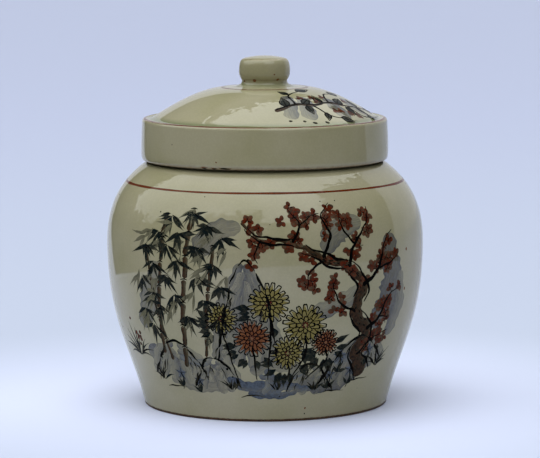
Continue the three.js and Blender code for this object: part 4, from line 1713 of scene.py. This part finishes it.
@dataclass(frozen=True)
class Studio:
    """A plain pale floor under an open sky, with a dark skyline and a pale backdrop for the glaze to mirror.

    Azimuths are degrees from the front, -Y, and grow towards +X. The skyline and the backdrop's top are
    lists of azimuth and elevation pairs. Fronds, crowns and aside are noises that roughen the skyline:
    scale, detail, roughness and reach in degrees. A fade is where a smooth step starts and ends.
    """

    floor: Rgb = (194, 202, 222)
    floor_painted_light: Rgb = (223, 229, 255)
    floor_far: Rgb = (193, 200, 227)
    floor_mirrored: Rgb = (203, 208, 226)
    floor_mirrored_shade: Rgb = (182, 187, 204)
    floor_beyond: Rgb = (84, 86, 78)
    floor_radius: float = 30.0
    cloth_reach: float = 0.58
    cloth_centre: Point = (0.08, -0.08)
    sky_colour: Rgb = (249, 253, 251)
    sky_strength: float = 1.71
    sky_foot: float = 0.78
    zenith: float = 1.35
    sky_scattered: float = 0.84
    trees: Rgb = (58, 62, 50)
    backdrop: Rgb = (200, 203, 211)
    backdrop_strength: float = 1.05
    cloth_left: Point = (-0.206, 0.46)
    cloth_right: float = 0.306
    backdrop_top: tuple[Point, ...] = (
        (-180, 31), (-168, 25), (-162, 16), (-158, 6), (-152, 0), (-150, -40), (105, -40), (107, -8), (109, 7),
        (112, 18), (120, 30), (125, 37), (134, 42), (150, 36), (165, 30), (180, 31),
    )
    skyline: tuple[Point, ...] = (
        (-180, 56), (-170, 57), (-155, 58), (-140, 52), (-130, 40), (-126, 18), (-97, 16), (-73, 22), (-51, 28),
        (-50, 38), (-2, 45), (-1, 29), (28, 30), (55, 34), (56, 47), (69, 56), (72, 62), (99, 62), (112, 57),
        (125, 51), (137, 43), (145, 36), (168, 36), (172, 50), (180, 56),
    )
    cloth_edge: float = 0.01
    right_shade_fade: Point = (0.0, 0.3)
    distance_fade: Point = (-0.2, 2.2)
    painted_light_fade: Point = (0.07, 0.32)
    low_sky_fade: Point = (18.0, 50.0)
    high_sky_fade: Point = (45.0, 85.0)
    outline_fade: Point = (-0.3, 0.3)
    cloud_scale: float = 1.7
    cloud_fade: Point = (0.35, 0.65)
    fronds: tuple[float, float, float, float] = (16.0, 3.0, 0.65, 30.0)
    crowns: tuple[float, float, float, float] = (8.0, 2.0, 0.5, 12.0)
    aside: tuple[float, float, float, float] = (14.0, 3.0, 0.65, 20.0)
    lights: tuple[SoftLight, ...] = (
        SoftLight("overhead", (-0.3, -0.4, 2.6), 1.8, 16.0, (0.86, 0.92, 1.0)),
        SoftLight("front", (0.2, -2.3, 0.8), 1.5, 7.0, (1.0, 0.99, 0.96)),
    )

    def build(self) -> None:
        """Floor, sky dome and two soft lights that the glaze doesn't mirror."""
        self.lay_floor()
        self.sky()
        for light in self.lights:
            light.build()

    def swing(
        self, graph: Graph, toward: bpy.types.NodeSocket, noise: tuple[float, float, float, float]
    ) -> bpy.types.NodeSocket:
        """Degrees up and down from a noise of a scale, a detail, a roughness and a reach."""
        *look, reach = noise
        return graph.math("MULTIPLY", graph.math("SUBTRACT", graph.noise(toward, *look), 0.5), reach)

    def outline(self, graph: Graph, azimuth: object, pairs: Sequence[Point]) -> bpy.types.NodeSocket:
        """Elevation in degrees along a line of azimuth and elevation pairs, straight between them.

        Args:
            graph: the graph to add to.
            azimuth: the azimuth in degrees.
            pairs: azimuths and elevations, from -180 to 180.

        Returns:
            The elevation, from a ramp whose greys are elevations over half a turn.
        """
        ramp = graph.node("ValToRGB", {0: graph.math("DIVIDE", graph.math("ADD", azimuth, 180.0), 360.0)})
        stops = ramp.color_ramp.elements
        shares = [(at + 180.0) / 360.0 for at, _ in pairs]
        for share in shares[1:-1]:
            stops.new(share)
        for stop, (_, height) in zip(stops, pairs):
            stop.color = ((height + 90.0) / 180.0,) * 3 + (1.0,)
        return graph.math("SUBTRACT", graph.math("MULTIPLY", ramp.outputs[0], 180.0), 90.0)

    def azimuth(self, graph: Graph, x: object, y: object) -> bpy.types.NodeSocket:
        """Azimuth in degrees of a point or a direction."""
        return graph.math("DEGREES", graph.math("ARCTAN2", x, graph.math("MULTIPLY", y, -1.0)))

    def lay_floor(self) -> None:
        """A wide disc under the jar: rings of points, each ring's radius growing by a steady factor.

        The camera sees it pale everywhere, and paler round the jar's foot: a painted pool of light that lifts the
        jar's shadow there. The glaze sees it pale near the jar and back to the backdrop, between a slanting
        left border and a straight right one, darker towards the right by painted shade, and dim beyond, as
        black flags round a table would make it.
        """
        rings, around = 24, 96
        radius = np.concatenate([[0.0], np.geomspace(0.05, self.floor_radius, rings)]) / MM
        piece = Turned("floor", np.column_stack([radius, np.zeros(rings + 1)]), around, sway=0.0).build()
        piece.data.flip_normals()
        made, graph = new_material("pale_floor")
        place = graph.place()
        x, y = graph.node("SeparateXYZ", {0: place}).outputs[:2]
        pale = graph.mix(graph.ramp(y, *self.distance_fade), linear(self.floor), linear(self.floor_far))
        beside = graph.node("VectorMath", {0: place}, operation="LENGTH").outputs["Value"]
        # Painted light: the floor is made paler round the jar's foot, lifting the jar's shadow there.
        pale = graph.mix(graph.ramp(beside, *self.painted_light_fade, 1.0, 0.0), pale, linear(self.floor_painted_light))
        middle = (*self.cloth_centre, 0.0)
        away = graph.node("VectorMath", {0: place, 1: middle}, operation="DISTANCE").outputs["Value"]
        near_jar = graph.ramp(away, self.cloth_reach, self.cloth_reach + self.cloth_edge, 1.0, 0.0)
        slanted = graph.math("ADD", x, graph.math("MULTIPLY", y, self.cloth_left[1]))
        inside = graph.math("GREATER_THAN", slanted, self.cloth_left[0])
        behind = graph.math("GREATER_THAN", y, graph.math("MAXIMUM", graph.math("MULTIPLY", x, self.cloth_right), 0.0))
        cloth = graph.math("MAXIMUM", near_jar, graph.math("MULTIPLY", inside, behind))
        # Painted shade: what the glaze mirrors of the floor grows darker towards the right.
        bright = graph.mix(
            graph.ramp(x, *self.right_shade_fade), linear(self.floor_mirrored), linear(self.floor_mirrored_shade)
        )
        mirrored = graph.mix(cloth, linear(self.floor_beyond), bright)
        colour = graph.mix(graph.node("LightPath").outputs["Is Camera Ray"], mirrored, pale)
        graph.finish({"Base Color": colour, "Roughness": 0.9, "Specular IOR Level": 0.1})
        piece.data.materials.append(made)

    def sky(self) -> None:
        """Bright sky over a ragged skyline, and the pale backdrop in front of it.

        Matt surfaces get less of its light than the glaze mirrors, by the factor sky_scattered.
        """
        world = bpy.data.worlds.new("sky")
        bpy.context.scene.world = world
        world.use_nodes = True
        graph = Graph(world.node_tree)
        toward = graph.node("TexCoord").outputs["Generated"]
        x, y, z = graph.node("SeparateXYZ", {0: toward}).outputs
        azimuth = self.azimuth(graph, x, y)
        elevation = graph.math("DEGREES", graph.math("ARCSINE", z))
        ragged = graph.math("ADD", *(self.swing(graph, toward, noise) for noise in (self.fronds, self.crowns)))
        aside = self.swing(graph, toward, self.aside)
        skyline = self.outline(graph, graph.math("ADD", azimuth, aside), self.skyline)
        over = graph.math("SUBTRACT", graph.math("ADD", elevation, ragged), skyline)
        cloudy = graph.ramp(graph.noise(toward, self.cloud_scale, 3.0), *self.cloud_fade)
        clouds = graph.mix(cloudy, linear(self.sky_colour), (1.0,) * 4)
        rise = graph.math("MULTIPLY", graph.ramp(elevation, *self.low_sky_fade, self.sky_foot, 1.0),
                          graph.ramp(elevation, *self.high_sky_fade, 1.0, self.zenith))
        clear = graph.mix(1.0, clouds, graph.grey(graph.math("MULTIPLY", rise, self.sky_strength)), "MULTIPLY")
        colour = graph.mix(graph.ramp(over, *self.outline_fade), linear(self.trees), clear)
        below = graph.math("SUBTRACT", self.outline(graph, azimuth, self.backdrop_top), elevation)
        cloth = tuple(self.backdrop_strength * c for c in linear(self.backdrop)[:3]) + (1.0,)
        colour = graph.mix(graph.ramp(below, *self.outline_fade), colour, cloth)
        scattered = graph.node("LightPath").outputs["Is Diffuse Ray"]
        strength = graph.ramp(scattered, 0.0, 1.0, 1.0, self.sky_scattered)
        shader = graph.node("Background", {"Color": colour, "Strength": strength})
        graph.node("OutputWorld", {"Surface": shader.outputs[0]})


def main() -> None:
    """Builds the view, the light and the three turned pieces with their painting."""
    logging.basicConfig(level=logging.INFO, format="%(name)s: %(message)s")
    bpy.context.scene.view_settings.view_transform = "Standard"
    Viewpoint().build()
    Studio().build()
    finish = GlazeFinish()
    colour = finish.colour_group()
    glaze = finish.material("glaze", colour)
    pigments = {
        pigment: PIGMENTS[pigment].material("brushed_" + pigment.value, colour, finish) for pigment in Pigment
    }
    for part in (JarBody(glaze), CapLid(glaze)):
        for piece in part.build(pigments):
            LOG.info("%s: %d faces", piece.name, len(piece.data.polygons))


if __name__ == "__main__":
    main()
